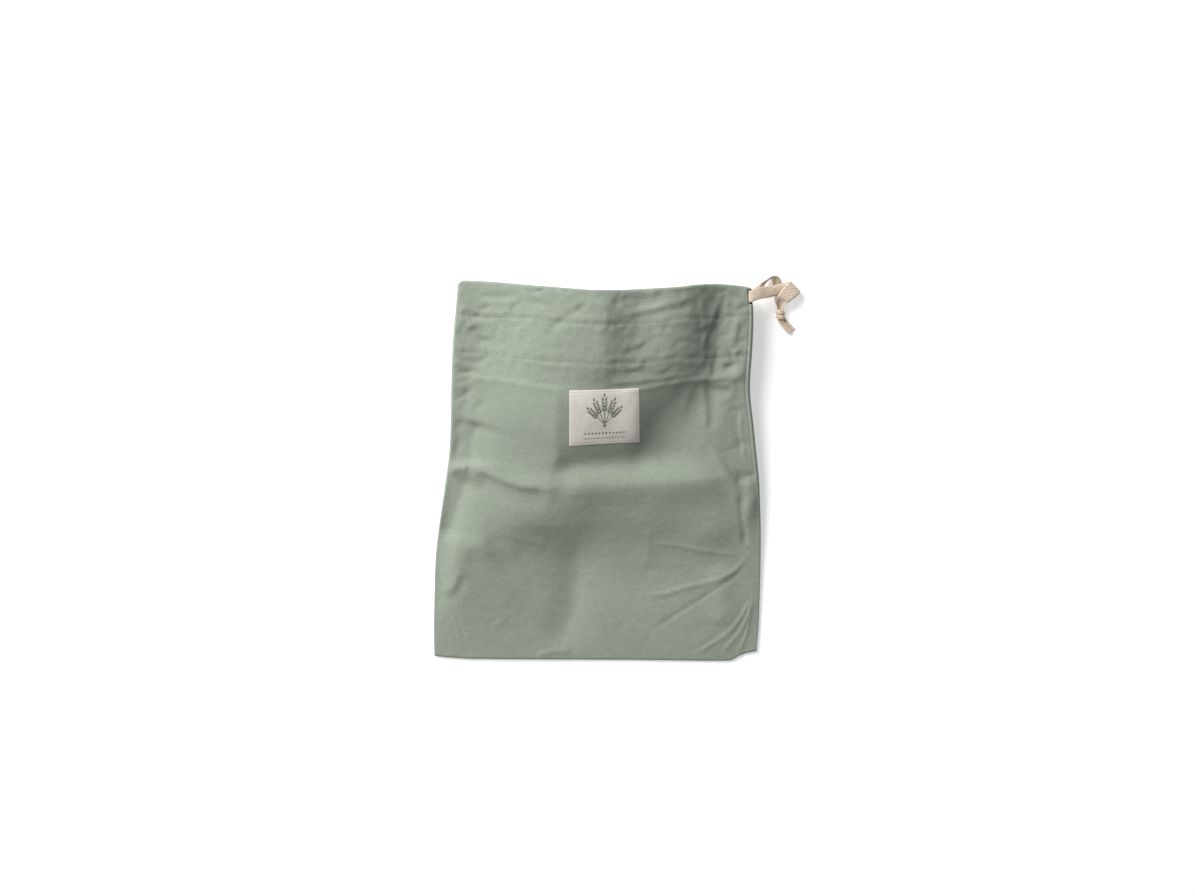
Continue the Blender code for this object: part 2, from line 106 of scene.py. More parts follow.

# The broad rises and hollows of the front panel, as listed: x, y, turn in degrees,
# half length, half width, and mm above the solid's front (below it where negative).
SIDE_FADE = 22.0
SEAM_HOLD = 7.0  # how near a side the creases die down, mm
FOLD_FADE = (-172.0, -150.0)
FORMS = (
    (-14, 14, 0, 74, 46, 9.0),        # the cloth carried up around the label
    (-28, 44, 90, 40, 42, 5.0),       # its left shoulder
    (35, 52, 90, 34, 15, 3.4),        # and the shoulder at its right edge
    (-64, -38, 5, 54, 30, 8.5),       # puffed cloth above the left curve
    (-134, -78, 70, 34, 14, 2.5),     # and its foot along the left edge
    (-100, -88, 0, 50, 42, 4.8),      # the low mound under the left curve
    (44, -38, 0, 88, 22, 4.6),        # cloth held up below the cross ridge
    (40, -98, 0, 84, 32, -3.0),       # and the slack under it
    (-86, 130, 90, 52, 30, -6.5),     # slack at the upper left
    (40, 132, 90, 54, 24, -6.5),      # hollow to the right of the middle press
    (32, 162, 0, 32, 12, -3.0),       # deeper toward the rim
    (137, 112, 90, 42, 20, 4.0),      # the corner by the right seam
    (64, 33, 58, 46, 22, -3.6),       # slack on the right of the label
    (88, 66, 0, 12, 14, -1.2),        # and where it runs out under the hem
    (118, 60, 75, 22, 9, 1.5),        # the light facet below the node
    (62, 12, 0, 44, 13, -2.4),        # the dip before the cross ridge
    (-20, -112, 82, 52, 18, -2.6),    # the long valley
    (104, -58, 20, 22, 14, 2.0),      # the light facet above the first fan line
)
# Small dents of the gathered cloth near the seams: the same six values.
DENTS = (
    (99, 116, 88, 20, 3, 1.3), (106, 138, 74, 22, 3, 0.9), (97, 152, 95, 14, 3, 1.1),
    (142, -30, 88, 15, 7, 2.6), (132, -4, 40, 5, 3.5, -1.2), (-112, 22, 80, 14, 6, 0.8),
    (109, 118, 86, 26, 9, -2.2), (124, 97, 60, 12, 6, -1.4), (129, 134, 75, 12, 4, 1.4),
    (97, 85, 20, 7, 4, 0.9), (-128, 24, 80, 9, 4, -1.0), (-126, 44, 60, 7, 4, -0.8),
    (84, 66, 70, 14, 4, 0.8), (-94, 161, 0, 14, 3.5, -1.12), (-54, 155, -10, 13, 4, -1.24),
    (-80, 149, 70, 6, 3, -0.79), (-124, 127, 10, 8, 4, -1.8), (-106, 121, -30, 9, 3.5, -1.46),
    (-117, 136, 160, 8, 3, 0.79), (-107, 102, 15, 8, 3, -1.35), (-119, 91, 5, 9, 3, -1.35),
    (-130, 99, 20, 6, 3, 0.9), (-120, 70, 80, 11, 3.5, -1.01), (-108, 60, 40, 6, 4, -0.9),
    (-32, 139, 30, 9, 2.5, -0.68), (66, 92, 35, 8, 2.5, -0.79), (30, 91, 0, 16, 3, -0.68),
    (104, 122, 68, 16, 2.6, -1.12), (113, 134, 55, 10, 2.4, -0.9), (115, 115, 70, 9, 4, 1.24),
    (124, 106, 115, 9, 2.2, -0.9), (130, 112, 50, 9, 2.4, 0.79), (135, 121, 10, 6, 2.2, -0.9),
    (134, 151, 10, 7, 2.4, -0.9), (120, 152, 80, 9, 3, 0.79), (110, 158, 85, 9, 2.6, -0.9),
    (135, 25, -35, 7, 4, -1.24), (108, 16, 130, 13, 3.5, 1.01), (129, 57, 10, 8, 3, -0.68),
)
# Puckers of the stitching, strewn by chance: x from, to, y from, to, count, length, depth.
PUCKERS = (
    (-128, 136, 146, 171, 64, 6.5, 0.55), (-128, 136, 113, 141, 54, 7.2, 0.42),
    (-128, -98, 84, 160, 25, 5.0, 0.85), (8, 96, 84, 104, 25, 6.5, 0.5),
    (100, 138, 86, 165, 25, 5.8, 0.8), (-134, -110, 44, 84, 10, 7.0, 0.9),
    (118, 142, -20, 80, 14, 7.0, 0.42), (-120, 120, -160, 70, 60, 14.0, 0.17),
)

# Each crease: its kind, height, lip, reach to the left of its run and to the right, points.
# "pressed" is an ironed line and "soft" a roll; a height below 0 is a trough.  A lip is a
# dip on the left of the run and a rise on the right, as along the edge of a tuck.
CREASES = {
    "centre_press": ("pressed", 3.0, 0, 24, 14, ((6, 78), (7, 105), (7, 140), (7, 172))),
    "hem_press_left": ("pressed", 1.1, 0.3, 2.6, 3.4, ((-132, 89), (-112, 87), (-95, 85.5), (-80, 83),
        (-60, 80), (-40, 78), (-20, 76))),
    "hem_press_right": ("pressed", 1.3, 0.3, 2.0, 2.8, ((20, 76), (40, 77.5), (60, 80.5), (80, 84),
        (100, 86), (120, 87), (139, 88))),
    "left_press_high": ("pressed", 2.4, 0, 14, 12, ((-38, -4), (-37, 30), (-36, 60), (-34, 84))),
    "side_tuck_high": ("pressed", -4.4, 0, 13, 13, ((-119, 4), (-118, 14), (-115, 28), (-110, 48))),
    "side_tuck_edge": ("pressed", 2.2, 0.6, 6, 4, ((-138, 1), (-128, 4), (-117, 4))),
    "side_tuck_low": ("pressed", -4.4, 0, 9, 14, ((-138, -66), (-135.6, -55), (-132, -43), (-124, -17),
        (-118, 0))),
    "left_round": ("pressed", 3.2, 0.0, 12, 26, ((-149, -112), (-137, -113), (-129, -104), (-124, -90),
        (-121, -76), (-110, -65), (-90, -58))),
    "left_pleat_a": ("pressed", 0.4, 0.0, 3, 4, ((-90, -46), (-70, -48), (-50, -49), (-20, -48))),
    "left_pleat_b": ("pressed", 0.6, 0.0, 5, 3, ((-98, -50), (-88, -55), (-75, -60), (-60, -65),
        (-42, -69))),
    "node_shelf": ("pressed", 2.2, 0, 7, 9, ((103, 81), (112, 88), (124, 90), (141, 90))),
    "right_round": ("pressed", 1.0, 0.5, 9, 4, ((134.5, -74), (135, -62), (133.5, -44), (129, -24),
        (120, -6), (111, 11), (104, 28))),
    "right_recess": ("soft", -1.9, 0, 3.2, 3.4, ((137, -72), (136, -56), (134, -42), (133, -30),
        (132, -18))),
    "right_node": ("soft", -1.4, 0.0, 3, 4, ((128, -6), (134, -8), (140, -4), (148, -5))),
    "fan_a": ("pressed", 0.7, 0.3, 2.4, 1.8, ((48, -65), (70, -67), (90, -71), (110, -74.5), (120, -75.5),
        (133, -76))),
    "fan_b": ("pressed", 0.9, 0.4, 3.0, 2.2, ((36, -113), (60, -113), (75, -108.5), (90, -104.5),
        (110, -99.5), (125, -92), (132, -86), (138, -79), (146, -77))),
    "fan_c": ("pressed", -0.75, 0.3, 2.0, 2.6, ((46, -151), (60, -142), (75, -132.5), (100, -117),
        (119, -104), (129, -97), (137, -85))),
    "fan_d": ("pressed", 0.4, 0.5, 2, 2, ((88, -169), (100, -161.5), (115, -152), (125, -143.5),
        (134, -131), (143, -114))),
    "fan_e": ("pressed", 0.5, 0.4, 2, 2, ((112, -170), (122, -158.5), (130, -149.5), (136.5, -137.5),
        (144.5, -115))),
    "fan_f": ("pressed", 0.5, 0.2, 1.8, 1.8, ((129, -170), (137, -151), (142, -126))),
    "fan_g": ("pressed", -0.4, 0.0, 3, 3, ((58, -142), (70, -144.5), (80, -146.5), (98, -149))),
    "low_curl": ("pressed", 0.8, 0.1, 4, 3, ((-57, -171), (-46, -167.5), (-36, -165), (-22, -167))),
    "low_mark": ("soft", 0.4, 0.0, 2.5, 2.5, ((-96, -145), (-90, -140), (-84, -136))),
    "middle_crease": ("pressed", 0.6, 0.0, 4, 4, ((45, -92), (47, -72), (50, -50))),
    "drop_line": ("pressed", -1.0, 0, 3.5, 5, ((103, 88), (99, 106), (97, 125), (95, 148), (92, 168))),
    "loaf_line": ("soft", -0.8, 0, 12, 9, ((30, 6), (42, 24), (54, 42), (68, 62), (88, 82))),
    "right_band": ("soft", 1.6, 0, 10, 12, ((112, -146), (115, -125), (115, -105), (113, -84))),
    "cross_ridge_left": ("pressed", 2.4, 0, 8, 4.5, ((-124, 3), (-108, 2), (-92, -5.5), (-82, -9.5),
        (-72, -12.5), (-58, -13.5), (-44, -14.5), (-28, -14))),
    "cross_ridge_right": ("pressed", 3.6, 0, 9, 16, ((-44, -15), (-25, -14), (0, -13), (25, -12.5),
        (50, -11), (75, -9.5), (100, -7.5), (118, -6), (133, -5))),
    "left_round_foot": ("soft", -0.5, -0.6, 5, 6, ((-147, -111), (-137, -113), (-129, -107), (-123, -92))),
    "node_left": ("soft", 0.0, -0.9, 4, 4, ((104, 84), (107, 98), (110, 112), (113, 124))),
    "node_up": ("soft", 0.0, -0.55, 4.5, 5, ((101, 88), (103, 108), (107, 128), (112, 148), (116, 168))),
    "node_down": ("soft", 0.0, -0.8, 4, 6, ((103, 36), (103, 50), (102.5, 66), (100, 80))),
    "node_right": ("soft", -0.6, -0.7, 4, 5, ((101, 82), (112, 77), (126, 78))),
    "seam_dents": ("soft", 0.0, 0.4, 3, 3, ((134, 10), (134, 25), (131, 40), (132, 58))),
    "middle_edge": ("soft", -1.4, 0, 16, 8, ((-46, -164), (-36, -153), (-28, -142), (-21, -122),
        (-20, -95), (-24, -62))),
    "low_dark": ("soft", 0.5, 0.0, 10, 8, ((-112, -74), (-90, -72), (-70, -70))),
    "hem_press_over": ("soft", 0.0, -0.6, 3, 3, ((4, 79.5), (40, 81), (60, 84), (80, 87), (94, 88.5))),
    "cross_dip": ("soft", -2.1, -0.3, 4, 12, ((-114, -2), (-100, -7), (-84, -13.5), (-66, -17.5),
        (-42, -18.5))),
    "casing_dark_a": ("soft", 0.0, -0.7, 5, 5, ((8, 156), (30, 160), (50, 162), (66, 166))),
    "casing_dark_b": ("soft", 0.0, -0.7, 4, 5, ((24, 141), (40, 145), (56, 149), (70, 153), (94, 158))),
    "hem_dark": ("soft", 0, -0.35, 4, 4, ((20, 107), (30, 112), (46, 117))),
    "under_label": ("soft", -2.8, 0.0, 12, 9, ((-44, 2), (-30, 3), (0, 5), (30, 6), (56, 9))),
}

# --- the tape, in the maker's mm ----------------------------------------------
TAPE_WIDE = 11.0
TAPE_THICK = 0.8
# Each strand's two edge lines: x, y, z on one edge, then on the other.
STRAND_A = (
    (129, 163.4, 20.6, 129, 152.4, 20.6), (136.2, 164.4, 22.2, 136.2, 153.4, 22.2),
    (141.5, 165.6, 22.6, 141.5, 154.8, 23), (148.6, 168, 19.2, 148.6, 157.4, 20.6),
    (156, 169.6, 14.2, 156.2, 159, 16.2), (164, 170.8, 9.4, 164.4, 161.2, 11.2),
    (171, 173, 6.2, 172.6, 162, 7.2), (175.6, 174.6, 4.2, 181, 163.6, 3.8),
    (178, 174.9, 6.4, 187, 165, 6), (176, 173.4, 9.8, 184, 161.8, 8.8),
    (171.4, 168, 11.4, 180, 158.6, 9.9), (167.2, 162, 11.6, 176, 155.4, 9.4),
    (165.3, 156.6, 8.8, 172.8, 153.4, 7.4), (165.9, 151.8, 6.4, 171.2, 151.6, 6.4),
    (167.4, 146.6, 5, 171.6, 146.8, 5), (170.4, 140.2, 3.4, 173.4, 141.6, 3.4),
    (174.8, 134.4, 2.5, 177.3, 136.5, 2.5), (180.2, 128.7, 1.6, 182.8, 130.8, 1.6),
)
STRAND_B = (
    (129, 163.4, 16.4, 129, 152.4, 16.4), (136.2, 164.4, 18, 136.2, 153.4, 18),
    (141.5, 166.2, 18.6, 141.5, 155.2, 18.2), (147.4, 169.4, 16, 148.4, 159.4, 13.2),
    (151.6, 172.8, 14.2, 153, 168.6, 5.4), (155.6, 175.4, 12.2, 156.6, 174.2, 1.6),
    (159.8, 178.2, 11.4, 160.4, 177.4, 0.8), (165, 178.9, 9.6, 161.6, 177.2, 0.8),
    (169, 175.4, 6.6, 162.2, 173.2, 0.9), (171.2, 169.6, 3.4, 163.2, 167.8, 1.1),
    (172.2, 163, 2.6, 163.6, 162.2, 1.5), (171.9, 156.4, 3.1, 164.6, 156.4, 2.7),
    (171, 151.6, 3.4, 166, 151.8, 3.4), (169.8, 146.6, 3.4, 166.6, 146.4, 3.4),
    (170, 139.8, 2.8, 167.6, 138.4, 2.8), (174.4, 134, 2, 171.9, 131.9, 2),
    (179.8, 128.3, 1.4, 177.4, 126.4, 1.4),
)
KNOT_TOP = np.array([168.6, 148.9, 4.6])  # the ends of the knot's axis
KNOT_END = np.array([169.6, 138.6, 3.4])
FOLD_PUSH = np.array([1.9, 1.75, 0.4])  # how far the turned end rounds out, mm
FOLD_ROW, FOLD_REACH = 0.475, 0.045  # where along the strand, and over how much

# --- the label ------------------------------------------------------------------
LABEL_CORNERS = ((-25.2, 74.6), (39.4, 76.7), (39.7, 26.6), (-25.2, 22.9))  # seen, from top left
LABEL_WIDE, LABEL_HIGH = 64.6, 51.0
LABEL_THICK = 0.7
LABEL_GRID = (176, 138)
LABEL_BOW = 0.35  # how far its long edges bow out, mm
LABEL_LIFT, LABEL_THREAD_LIFT = 0.25, 0.50  # above the front panel, mm
LABEL_INSET = 1.9  # from its edge to its stitches
LABEL_STITCH = (1.7, 0.8, 0.08)  # length, gap and chance shift, mm
LABEL_THREAD = 0.20

rng = np.random.default_rng(21)


# --- curves and grids --------------------------------------------------------
def flow(places, values, where):
    """Smooth curve through (places, values), read at `where`, for one or many rows.

    Cubic between neighbouring points; the slope at a point is the harmonic mean
    of the two sides' slopes, and level at a peak, so the curve never overshoots."""
    places, values, where = (np.asarray(a, float) for a in (places, values, where))
    step = np.diff(places, axis=-1)
    rate = np.diff(values, axis=-1) / step
    before, after = rate[..., :-1], rate[..., 1:]
    rising = before * after > 0
    total = np.where(rising, before + after, 1.0)
    inner = np.where(rising, 2 * before * after / total, 0.0)
    slope = np.concatenate([rate[..., :1], inner, rate[..., -1:]], axis=-1)
    index = (where[..., None] >= places[..., None, :]).sum(-1) - 1
    index = np.clip(index, 0, places.shape[-1] - 2)

    def pick(array, shift=0):
        if array.ndim == 1:
            return array[index + shift]
        return np.take_along_axis(array, index + shift, axis=-1)

    h = pick(step)
    t = np.clip((where - pick(places)) / h, 0, 1)
    return ((2 * t ** 3 - 3 * t ** 2 + 1) * pick(values) + (t ** 3 - 2 * t ** 2 + t) * h * pick(slope)
            + (-2 * t ** 3 + 3 * t ** 2) * pick(values, 1) + (t ** 3 - t ** 2) * h * pick(slope, 1))


def table(pairs, where):
    """`flow` through a table of (place, value) pairs."""
    pairs = np.array(pairs, float)
    return flow(pairs[:, 0], pairs[:, 1], where)


def ease(t):
    """Smooth step: 3t^2 - 2t^3 between 0 and 1."""
    t = np.clip(t, 0.0, 1.0)
    return t * t * (3 - 2 * t)


SPLINE_FINE = 24  # steps in each span before its length is read evenly


def spline(points, count):
    """Catmull-Rom curve through the points, read at `count` even steps of its length."""
    p = np.asarray(points, float)
    ends = np.concatenate([[2 * p[0] - p[1]], p, [2 * p[-1] - p[-2]]])
    t = np.linspace(0, len(p) - 1, SPLINE_FINE * len(p))
    i = np.minimum(t.astype(int), len(p) - 2)
    f = (t - i).reshape((-1,) + (1,) * (p.ndim - 1))
    a, b, c, d = ends[i], ends[i + 1], ends[i + 2], ends[i + 3]
    fine = 0.5 * (2 * b + (c - a) * f + (2 * a - 5 * b + 4 * c - d) * f ** 2
                  + (3 * b - a - 3 * c + d) * f ** 3)
    centre = fine.reshape(len(fine), -1, p.shape[-1]).mean(1)
    run = run_along(centre)
    even = np.linspace(0, run[-1], count)
    flat = fine.reshape(len(fine), -1)
    out = np.stack([np.interp(even, run, flat[:, k]) for k in range(flat.shape[1])], axis=1)
    return out.reshape((count,) + p.shape[1:])


def arc_length(line):
    return np.linalg.norm(np.diff(line, axis=0), axis=1).sum()


def run_along(line):
    """Length of the line from its start to each of its points."""
    return np.concatenate([[0], np.cumsum(np.linalg.norm(np.diff(line, axis=0), axis=1))])


def unit(v):
    return v / np.maximum(np.linalg.norm(v, axis=-1, keepdims=True), 1e-9)


def grid_faces(rows, columns, closed=False):
    """Quads between neighbouring rows and columns of a grid; `closed` joins the last
    column to the first."""
    i = np.arange(rows - 1)[:, None]
    j = np.arange(columns if closed else columns - 1)[None, :]
    k = (j + 1) % columns
    quads = np.stack([i * columns + j, i * columns + k, (i + 1) * columns + k, (i + 1) * columns + j], -1)
    return quads.reshape(-1, 4)


def tube_faces(rings, around):
    """Faces of a closed tube: its quads, and a flat cap at each end."""
    faces = grid_faces(rings, around, closed=True).tolist()
    return faces + [list(range(around))[::-1], list(range((rings - 1) * around, rings * around))]


def add_object(name, data):
    """A new object in the scene."""
    obj = bpy.data.objects.new(name, data)
    bpy.context.scene.collection.objects.link(obj)
    return obj


def add_piece(name, points, faces, material, uv):
    """A smooth mesh object from points and UV in maker's millimetres, riding on the bag."""
    mesh = bpy.data.meshes.new(name)
    placed = (np.asarray(points, float).reshape(-1, 3) - CENTRE) * MM
    mesh.from_pydata(placed.tolist(), [], [list(map(int, f)) for f in faces])
    layer = mesh.uv_layers.new(name="cloth")
    corner = np.empty(len(mesh.loops), np.int32)
    mesh.loops.foreach_get("vertex_index", corner)
    scaled = (np.asarray(uv) * MM).astype(np.float32).reshape(-1, 2)
    layer.data.foreach_set("uv", scaled[corner].ravel())
    mesh.polygons.foreach_set("use_smooth", np.full(len(mesh.polygons), True))
    mesh.update()
    mesh.materials.append(material)
    obj = add_object(name, mesh)
    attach(obj, "root")
    return obj


def give_thickness(obj, thick):
    """Makes a sheet of the surface, its thickness all on the inner side."""
    shell = obj.modifiers.new("sheet", "SOLIDIFY")
    shell.thickness = thick * MM
    shell.offset = -1.0


# --- the bag's surface -------------------------------------------------------
FRONT = np.concatenate([np.linspace(0, 0.028, 6)[:-1], np.linspace(0.028, 0.955, 142),
                        np.linspace(0.955, 1, 18)[1:]])
NOSE_SHARE = 0.50  # how far a side's fold bulges, for its height
NOSE_RIGHT = np.radians([78, 66, 54, 44, 34, 26, 20, 10, 0, -10, -20, -34, -50, -70])
NOSE_LEFT = np.radians([76, 62, 48, 34, 20, 8, -4, -18, -34, -50, -70])
BACK_SPANS = 38
LIFT_REACH, LIFT_SLOPE = 8, 4  # how near a side the back lifts: mm, and mm for each mm of its rise
N_FRONT = len(FRONT)
N_RIGHT = len(NOSE_RIGHT)
N_LEFT = len(NOSE_LEFT)
COLUMNS = N_FRONT + N_RIGHT + BACK_SPANS + 1 + N_LEFT


def front_share():
    """For each column round the bag: 1 on the front panel, 0 on the back, easing round
    the sides."""
    right = 1 - (np.arange(N_RIGHT) + 1) / (N_RIGHT + 1)
    left = (np.arange(N_LEFT) + 1) / (N_LEFT + 1)
    return np.concatenate([np.ones(N_FRONT), right, np.zeros(BACK_SPANS + 1), left])


SHARE = front_share()


def outline(y):
    """Outer outline of the cloth at each nominal y: an array (rows, columns, 3).

    The front runs smoothly through the heights of SECTIONS, each side is a round
    nose, and the back lies flat on the table and lifts to the noses."""
    y = np.asarray(y, float)
    rows = np.array([row[:6] + row[6] for row in SECTIONS], float)
    room = np.clip(np.minimum(y - rows[0, 0], rows[-1, 0] - y) / BLUR, 0, 1)
    read = sum(share * np.stack([flow(rows[:, 0], rows[:, k], y + step * BLUR * room)
                                 for k in range(1, rows.shape[1])], axis=1) for step, share in BLUR_STEPS)
    left, right, seam_l, seam_r, r = (read[:, k:k + 1] for k in range(5))
    a, b = left + NOSE_SHARE * r, right - NOSE_SHARE * r
    places = np.concatenate([a, np.repeat(COLUMN_X[None], len(y), 0), b], axis=1)
    heights = np.concatenate([seam_l + r, read[:, 5:], seam_r + r], axis=1)
    fx = a + (b - a) * FRONT[None]
    inset = np.clip(np.minimum(fx - a, b - fx) / BLUR, 0, 1)
    fz = sum(share * flow(places, heights, fx + step * BLUR * inset) for step, share in BLUR_STEPS)
    rx, rz = b + NOSE_SHARE * r * np.cos(NOSE_RIGHT), seam_r + r * np.sin(NOSE_RIGHT)
    bx = b + (a - b) * np.linspace(0, 1, BACK_SPANS + 1)[None]
    rise_r, rise_l = np.maximum(seam_r - r, 0), np.maximum(seam_l - r, 0)
    bz = (rise_r * (1 - ease((b - bx) / (LIFT_REACH + LIFT_SLOPE * rise_r)))
          + rise_l * (1 - ease((bx - a) / (LIFT_REACH + LIFT_SLOPE * rise_l))))
    angle = np.pi - NOSE_LEFT[::-1]
    lx, lz = a + NOSE_SHARE * r * np.cos(angle), seam_l + r * np.sin(angle)
    x = np.concatenate([fx, rx, bx, lx], axis=1)
    z = np.concatenate([fz, rz, bz, lz], axis=1)
    rim = SHARE * table(FRONT_RIM, x) + (1 - SHARE) * table(BACK_RIM, x)
    rim_weight = ease((y - RIM_FADE[1]) / (RIM_FADE[0] - RIM_FADE[1]))[:, None]
    fold_weight = (1 - ease((y - BOTTOM_FADE[0]) / (BOTTOM_FADE[1] - BOTTOM_FADE[0])))[:, None]
    yy = y[:, None] + rim_weight * rim + fold_weight * table(BOTTOM_FOLD, x)
    return np.stack([x, yy, z], axis=2)


def surface_normals(y):
    """Outward normals of the outline: the cross product of the run round the bag and
    the run along it, taken over a millimetre."""
    here = outline(y)
    along = outline(np.asarray(y) + 0.5) - outline(np.asarray(y) - 0.5)
    around = np.roll(here, -1, axis=1) - np.roll(here, 1, axis=1)
    return here, unit(np.cross(around, along))


def seen(points):
    """Where the eye sees each point on the table's plane: x and y, in mm."""
    scale = EYE[2] / (EYE[2] - points[..., 2])
    return (EYE[0] + (points[..., 0] - EYE[0]) * scale, EYE[1] + (points[..., 1] - EYE[1]) * scale)


CREASE_FAR = 4.5  # reaches out from its run that a crease is read
PRESSED_TIP = 0.25  # rounding of a pressed line's tip, in reaches
LIP_FULL = 2.33  # brings the lip's highest point to its full height
CREASE_END = 0.2  # share of its run over which each end eases out


def crease_height(x, y, kind, height, lip, reach_left, reach_right, points):
    """Height that one crease adds at x, y, from the distance d off its run, as a share of
    its reach on that side.  Pressed: exp(-d), with a slightly rounded tip.  Soft:
    exp(-d^2).  The lip adds d exp(-d^2), below 0 on the left.  Both ends ease out."""
    line = spline(points, 12 + 10 * len(points))
    reach = max(reach_left, reach_right) * CREASE_FAR
    box = ((x > line[:, 0].min() - reach) & (x < line[:, 0].max() + reach)
           & (y > line[:, 1].min() - reach) & (y < line[:, 1].max() + reach))
    out = np.zeros_like(x)
    px, py = x[box], y[box]
    if px.size == 0:
        return out
    d2 = (px[:, None] - line[:, 0]) ** 2 + (py[:, None] - line[:, 1]) ** 2
    near = d2.argmin(axis=1)
    last = len(line) - 1
    tangent = unit(np.gradient(line, axis=0))[near]
    ox, oy = px - line[near, 0], py - line[near, 1]
    off = tangent[:, 1] * ox - tangent[:, 0] * oy
    side = np.where(off < 0, -1.0, 1.0)
    beyond = (near == 0) | (near == last)
    off = np.where(beyond, side * np.sqrt(d2[np.arange(len(px)), near]), off)
    d = off / np.where(off < 0, reach_left, reach_right)
    if kind == "pressed":
        shape = np.exp(PRESSED_TIP - np.sqrt(d * d + PRESSED_TIP ** 2))
    else:
        shape = np.exp(-d * d)
    step = arc_length(line) / last
    run = np.clip((near + (tangent[:, 0] * ox + tangent[:, 1] * oy) / step) / last, 0, 1)
    ends = ease(run / CREASE_END) * ease((1 - run) / CREASE_END)
    out[box] = (height * shape + lip * LIP_FULL * d * np.exp(-d * d)) * ends
    return out


def ovals(x, y, rows):
    """Soft ovals added up: height times exp(-(u / long)^2 - (v / wide)^2), u along each
    oval and v across it."""
    out = np.zeros_like(x)
    for px, py, turn, long_half, wide_half, height in rows:
        c, s = math.cos(math.radians(turn)), math.sin(math.radians(turn))
        u, v = (x - px) * c + (y - py) * s, (y - py) * c - (x - px) * s
        out += height * np.exp(-(u / long_half) ** 2 - (v / wide_half) ** 2)
    return out


def strewn_puckers():
    """Ovals for each patch of PUCKERS, at seeded chance places, turns and heights."""
    rows = []
    for x0, x1, y0, y1, count, length, depth in PUCKERS:
        place = rng.uniform((x0, y0), (x1, y1), (count, 2))
        turn = rng.uniform(-25, 60, count)
        long_half = length * rng.uniform(0.6, 1.4, count)
        height = depth * rng.uniform(-1.3, 1.0, count)
        rows.append(np.column_stack([place, turn, long_half, long_half * 0.36, height]))
    return np.concatenate(rows)


CRUMPLE_WAVES = 60
CRUMPLE_LONG = (6.0, 15.0)  # lengths of the waves, mm
CRUMPLE_STEEP = 0.0042  # most height of a wave, for its length


def crumple(x, y):
    """Fine crumples everywhere: waves in every direction, each 0.01 to 0.06 mm high,
    added up."""
    length = rng.uniform(*CRUMPLE_LONG, CRUMPLE_WAVES)
    turn, phase = rng.uniform(0, 2 * np.pi, (2, CRUMPLE_WAVES))
    height = CRUMPLE_STEEP * length * rng.uniform(0.4, 1.0, CRUMPLE_WAVES)
    out = np.zeros_like(x)
    for k in range(CRUMPLE_WAVES):
        run = (x * np.cos(turn[k]) + y * np.sin(turn[k])) * 2 * np.pi / length[k]
        out += height[k] * np.sin(run + phase[k])
    return out


def stitch_groove(x, y, row):
    """What a row of stitches does to the cloth at a distance d from it, in mm: a dip of
    0.38 exp(-(d / 1.3)^2), a rise beside it of 0.18 exp(-((d - 3.4) / 2)^2), and gathers
    across it, 0.1 high at the row and dying as exp(-d / 5)."""
    d = np.abs(y - table(row, x))
    gather = 0.10 * np.sin(x * 0.83 + 1.7 * np.sin(x * 0.11)) * np.exp(-(d / 5.0))
    return -0.38 * np.exp(-(d / 1.3) ** 2) + 0.18 * np.exp(-((d - 3.4) / 2.0) ** 2) + gather


def sides(y):
    """The sections' left and right ends at each nominal y, as columns."""
    rows = np.array([row[:3] for row in SECTIONS], float)
    return [flow(rows[:, 0], rows[:, k], y)[:, None] for k in (1, 2)]


SEAM_FADE = (-20.0, 40.0)  # the seam's edge shows fully above these y
SEAM_LINES = ((4.3, 0.6, -0.6), (2.4, 1.2, 0.2))  # in from the end, half width, height, mm
SEAM_SHARE = 0.3  # how far round the side it still shows


def seam_ridge(points, y):
    """The right-hand seam's pressed edge: a groove and a low ridge along the outline, fading
    out below the middle of the bag.  Each is its height times exp(-(d / half width)^2)."""
    _, right = sides(y)
    inward = right - points[..., 0]
    strength = ease((y - SEAM_FADE[0]) / (SEAM_FADE[1] - SEAM_FADE[0]))[:, None] * (SHARE > SEAM_SHARE)
    return strength * sum(height * np.exp(-((inward - place) / half) ** 2)
                          for place, half, height in SEAM_LINES)


CREASE_STATE = rng.bit_generator.state
HEM_SEEN = (76.0, 92.0)  # the cloth is doubled above these seen y
CRUMPLE_SINGLE, CRUMPLE_DOUBLED = 0.2, 0.8  # strength of the crumples below and above
SEAM_LEAST = 0.35  # what is left of the relief at a side
SIDE_SHARE, SIDE_EASE = 0.5, 0.45  # the share of the front at which the relief dies, and over how much


def relief(points, y):
    """All that the listed creases, stitching and puckers add to the outline, in mm."""
    rng.bit_generator.state = CREASE_STATE
    x, yy = seen(points)
    left, right = sides(y)
    inset = np.minimum(points[..., 0] - left, right - points[..., 0])
    off_fold = ease((yy - FOLD_FADE[0]) / (FOLD_FADE[1] - FOLD_FADE[0]))
    out = ovals(x, yy, FORMS) * ease(inset / SIDE_FADE) * off_fold
    for crease in CREASES.values():
        out += crease_height(x, yy, *crease)
    out += ovals(x, yy, DENTS) + ovals(x, yy, strewn_puckers())
    doubled = ease((yy - HEM_SEEN[0]) / (HEM_SEEN[1] - HEM_SEEN[0]))
    out += crumple(x, yy) * (CRUMPLE_SINGLE * (1 - doubled) + CRUMPLE_DOUBLED * doubled)
    out += stitch_groove(x, yy, STITCH_ROW_TOP) + stitch_groove(x, yy, STITCH_ROW_LOW)
    held = SEAM_LEAST + (1 - SEAM_LEAST) * ease(inset / SEAM_HOLD)
    out *= held * ease((SHARE - SIDE_SHARE) / SIDE_EASE)
    out += seam_ridge(points, y)
    return out


